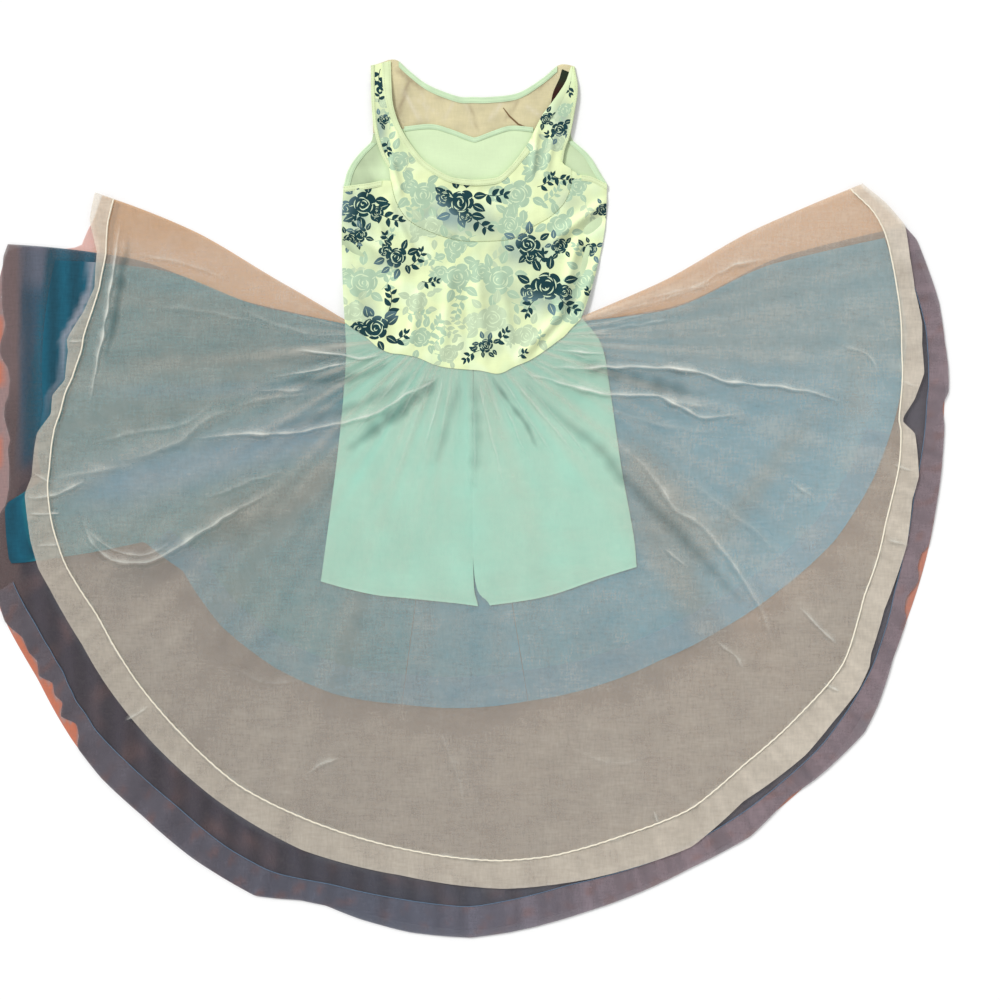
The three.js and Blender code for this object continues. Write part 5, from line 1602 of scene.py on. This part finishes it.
# Marks of the yoke: the painted shade of a fold that lies on it, and the painted shadow in the
# opening beside the turned strap
YOKE_FOLD_SHADE = [(42, 278), (50, 268), (61, 258), (76, 251.5), (75, 250), (60, 256), (48.5, 266.5),
             (41, 277.5)]
YOKE_OPENING = [(115, 326), (112, 315), (105, 300), (103, 294), (101, 283), (106, 287),
                (113, 295), (120, 306), (127, 321)]


def lining_look(x, y):
    """Colour of the lining, darker and creased in the armholes, with painted shade and painted
    crease light and shade there.
    """
    # Painted shade: the armholes darker, with painted crease light and shade there, over a random
    # tone everywhere.
    armhole = smooth(-104, -122, x) + 0.5 * smooth(104, 122, x)
    tone_and_crease_shading = 0.04 * field(x, y, 40, 91) + 0.1 * armhole * field(x, y, 22, 96)
    return rgba(LINING * (1 + tone_and_crease_shading - 0.26 * armhole)[..., None], 1, np.shape(x))


def mesh_look(x, y):
    """Colour of the yoke's mesh, with the painted highlights and shade of its folds."""
    colour = MESH * (1 + 0.06 * field(x, y, 50, 93) + 0.05 * field(x, y, 18, 95))[..., None]
    for *line, change in MESH_FOLD_PAINTED_LIGHT:
        # Painted highlight or painted shade along each fold.
        other = from_srgb(236, 228, 200) if change > 0 else from_srgb(150, 128, 96)
        colour = blend(colour, other, ridge(x, y, *line) * abs(change))
    return rgba(colour, MESH_COVER, np.shape(x))


def opening_shadow_look(x, y):
    """Painted shadow in the opening beside the turned strap, dark red-brown low and dark green
    high.
    """
    colour = blend(from_srgb(52, 20, 14), from_srgb(30, 44, 26), smooth(296, 318, y))
    return rgba(colour, 1, np.shape(x))


def level_at(level):
    """One height everywhere, as a function of place."""
    return lambda x, y: 0 * x + level


def make_back():
    back_outline = outline_of(LEFT_BACK_ARM, SWEETHEART, RIGHT_BACK_ARM, RIGHT_SIDE[::-1],
                              BACK_WAIST[::-1], LEFT_SIDE[::-1])
    back = printed_panel("back_cloth", back_outline, 8, level_at(WALL - 0.1))
    dress_up(back, KNIT_CLOTH, ["back_panel"])

    lining = flat_panel("back_lining_cloth", back_outline, 7,
                        lambda x, y: LEVEL["lining"] + WALL - 0.1 + 0.2 * field(x, y, 40, 92),
                        KNIT, lining_look)
    dress_up(lining, KNIT_CLOTH, ["back_lining"])

    yoke_low = moved(SWEETHEART, 0, HIDDEN_SEAM)
    yoke_outline = outline_of(BACK_NECK, [BACK_NECK[-1], yoke_low[-1]], yoke_low[::-1],
                              [yoke_low[0], BACK_NECK[0]])
    # Painted shade of the fold and painted shadow in the opening, cut into the mesh.
    marks = [(np.array(YOKE_FOLD_SHADE, float), plain(from_srgb(120, 96, 66))),
             (np.array(YOKE_OPENING, float), opening_shadow_look)]
    yoke = printed_panel("back_yoke_mesh", yoke_outline, 4,
                         lambda x, y: 0.9 + 0.2 * field(x, y, 30, 94), marks, mesh_look, NET)
    dress_up(yoke, NET_CLOTH, ["back_mesh_yoke"])

    neck = [p for p in BACK_NECK if -95 < p[0] < 118]
    left, right, middle = LEFT_BACK_ARM[:4], RIGHT_BACK_ARM[1:], SWEETHEART[1:-1]
    trims, seams = bindings([
        (name + "_band", first, second, level_at(LEVEL[level]), name + "_binding")
        for name, first, second, level in (
            ("back_neck", neck, moved(neck, 0, -BINDING), "lining"),
            ("sweetheart", moved(middle, 0, 3), moved(middle, 0, -3), "front"),
            ("left_back_armhole", left, moved(left, BINDING, -1), "front"),
            ("right_back_armhole", right, moved(right, -BINDING, -1), "front"),
        )], BACK_TRIM, (0.25, 0.75))
    thread = tubes("back_stitches", seams, STITCH_RADIUS, 4)
    trims.append(dress_up(thread, MINT_THREAD))
    return back, lining, yoke, trims


# Stage, camera and lights, in metres

FLOOR_HALF = 9.0
FLOOR_DROP = -0.0003
CAMERA_HEIGHT = 3.0


def make_stage():
    mesh = bpy.data.meshes.new("floor")
    corners = [(x * FLOOR_HALF, y * FLOOR_HALF, FLOOR_DROP)
               for x, y in ((-1, -1), (1, -1), (1, 1), (-1, 1))]
    mesh.from_pydata(corners, [], [(0, 1, 2, 3)])
    floor = show("floor", mesh)
    material, _, _ = new_material("floor", {
        "Base Color": (0.9, 0.9, 0.9, 1), "Roughness": 0.9, "Specular IOR Level": 0})
    mesh.materials.append(material)

    scene = bpy.context.scene
    world = bpy.data.worlds.new("studio")
    scene.world = world
    world.use_nodes = True
    background = world.node_tree.nodes["Background"]
    background.inputs["Color"].default_value = (1, 1, 1, 1)
    background.inputs["Strength"].default_value = 0.68
    sun = bpy.data.lights.new("key", "SUN")
    sun.energy = 1.95
    sun.angle = math.radians(14)
    key = show("key", sun)
    key.rotation_euler = Vector((1.0, -0.9, -1.5)).to_track_quat("-Z", "Y").to_euler()
    scene.view_settings.view_transform = "Standard"
    scene.cycles.transparent_max_bounces = 40
    scene.cycles.use_denoising = True


def make_camera():
    half = PHOTO_SIDE / 2
    centre_x = (half - WAIST_PIXEL[0]) * PIXEL + SHIFT[0]
    centre_y = (WAIST_PIXEL[1] - half) * PIXEL + SHIFT[1]
    data = bpy.data.cameras.new("camera")
    data.sensor_width = 36
    data.lens = data.sensor_width * CAMERA_HEIGHT / (PHOTO_SIDE * PIXEL * MM)
    camera = show("camera", data)
    camera.location = (centre_x * MM, centre_y * MM, CAMERA_HEIGHT)
    bpy.context.scene.camera = camera


make_camera()
make_stage()
coral = make_coral()
navy, navy_band, navy_thread = make_navy()
gores, blue_band = make_blue()
ivory, ivory_band, ivory_cord, ivory_creases = make_ivory()
legs = make_shorts()
back, lining, yoke, back_trims = make_back()
bust, lower, front_trims = make_front()

# Cut of what shows of each sheet: piece, width, length, flat area, what it lies on, and the
# pieces that go with it. Metres and square metres. A hem fold is a strip as long as its hem.
trims = {piece.name: piece for piece in back_trims + front_trims}
leg_names = ["shorts_back_left_leg", "shorts_front_left_leg", "shorts_back_right_leg",
             "shorts_front_right_leg"]
gore_names = list(GORES)
SHEETS = [
    (coral, 1.20, 0.93, 0.83, [], []),
    (navy, 1.19, 0.89, 0.80, ["coral_underskirt"], []),
    (navy_band, 0.03, 1.98, 0.057, ["navy_skirt"], [navy_thread]),
    (gores[0], 0.554, 0.554, 0.202, ["navy_skirt"], []),
    (gores[1], 0.157, 0.441, 0.0407, ["navy_skirt"], []),
    (gores[2], 0.544, 0.578, 0.209, ["navy_skirt"], []),
    (blue_band, 0.036, 1.10, 0.039, gore_names, []),
    (ivory, 1.12, 0.88, 0.71, gore_names + ["navy_skirt"], [ivory_creases]),
    (ivory_band, 0.03, 2.35, 0.069, ["ivory_overskirt"], [ivory_cord]),
    (legs[0], 0.196, 0.353, 0.0543, gore_names, []),
    (legs[1], 0.196, 0.358, 0.0535, leg_names[:1], []),
    (legs[2], 0.205, 0.356, 0.0573, gore_names, []),
    (legs[3], 0.205, 0.361, 0.0561, leg_names[2:3], []),
    (back, 0.331, 0.286, 0.083, [], ["left_back_armhole_band", "right_back_armhole_band"]),
    (lining, 0.331, 0.286, 0.0825, ["back_panel"], ["sweetheart_band", "back_stitches"]),
    (yoke, 0.255, 0.10, 0.0154, ["back_lining"], ["back_neck_band"]),
    (bust, 0.258, 0.226, 0.0255, ["back_lining", "back_mesh_yoke"],
     ["front_neck_band", "left_front_armhole_band", "right_front_armhole_band",
      "right_strap_turned_band", "front_stitches"]),
    (lower, 0.331, 0.254, 0.056, ["back_lining"],
     ["left_underarm_band", "right_underarm_band"]),
]
for piece, width, length, area, under, parts in SHEETS:
    parts = [trims[part] if isinstance(part, str) else part for part in parts]
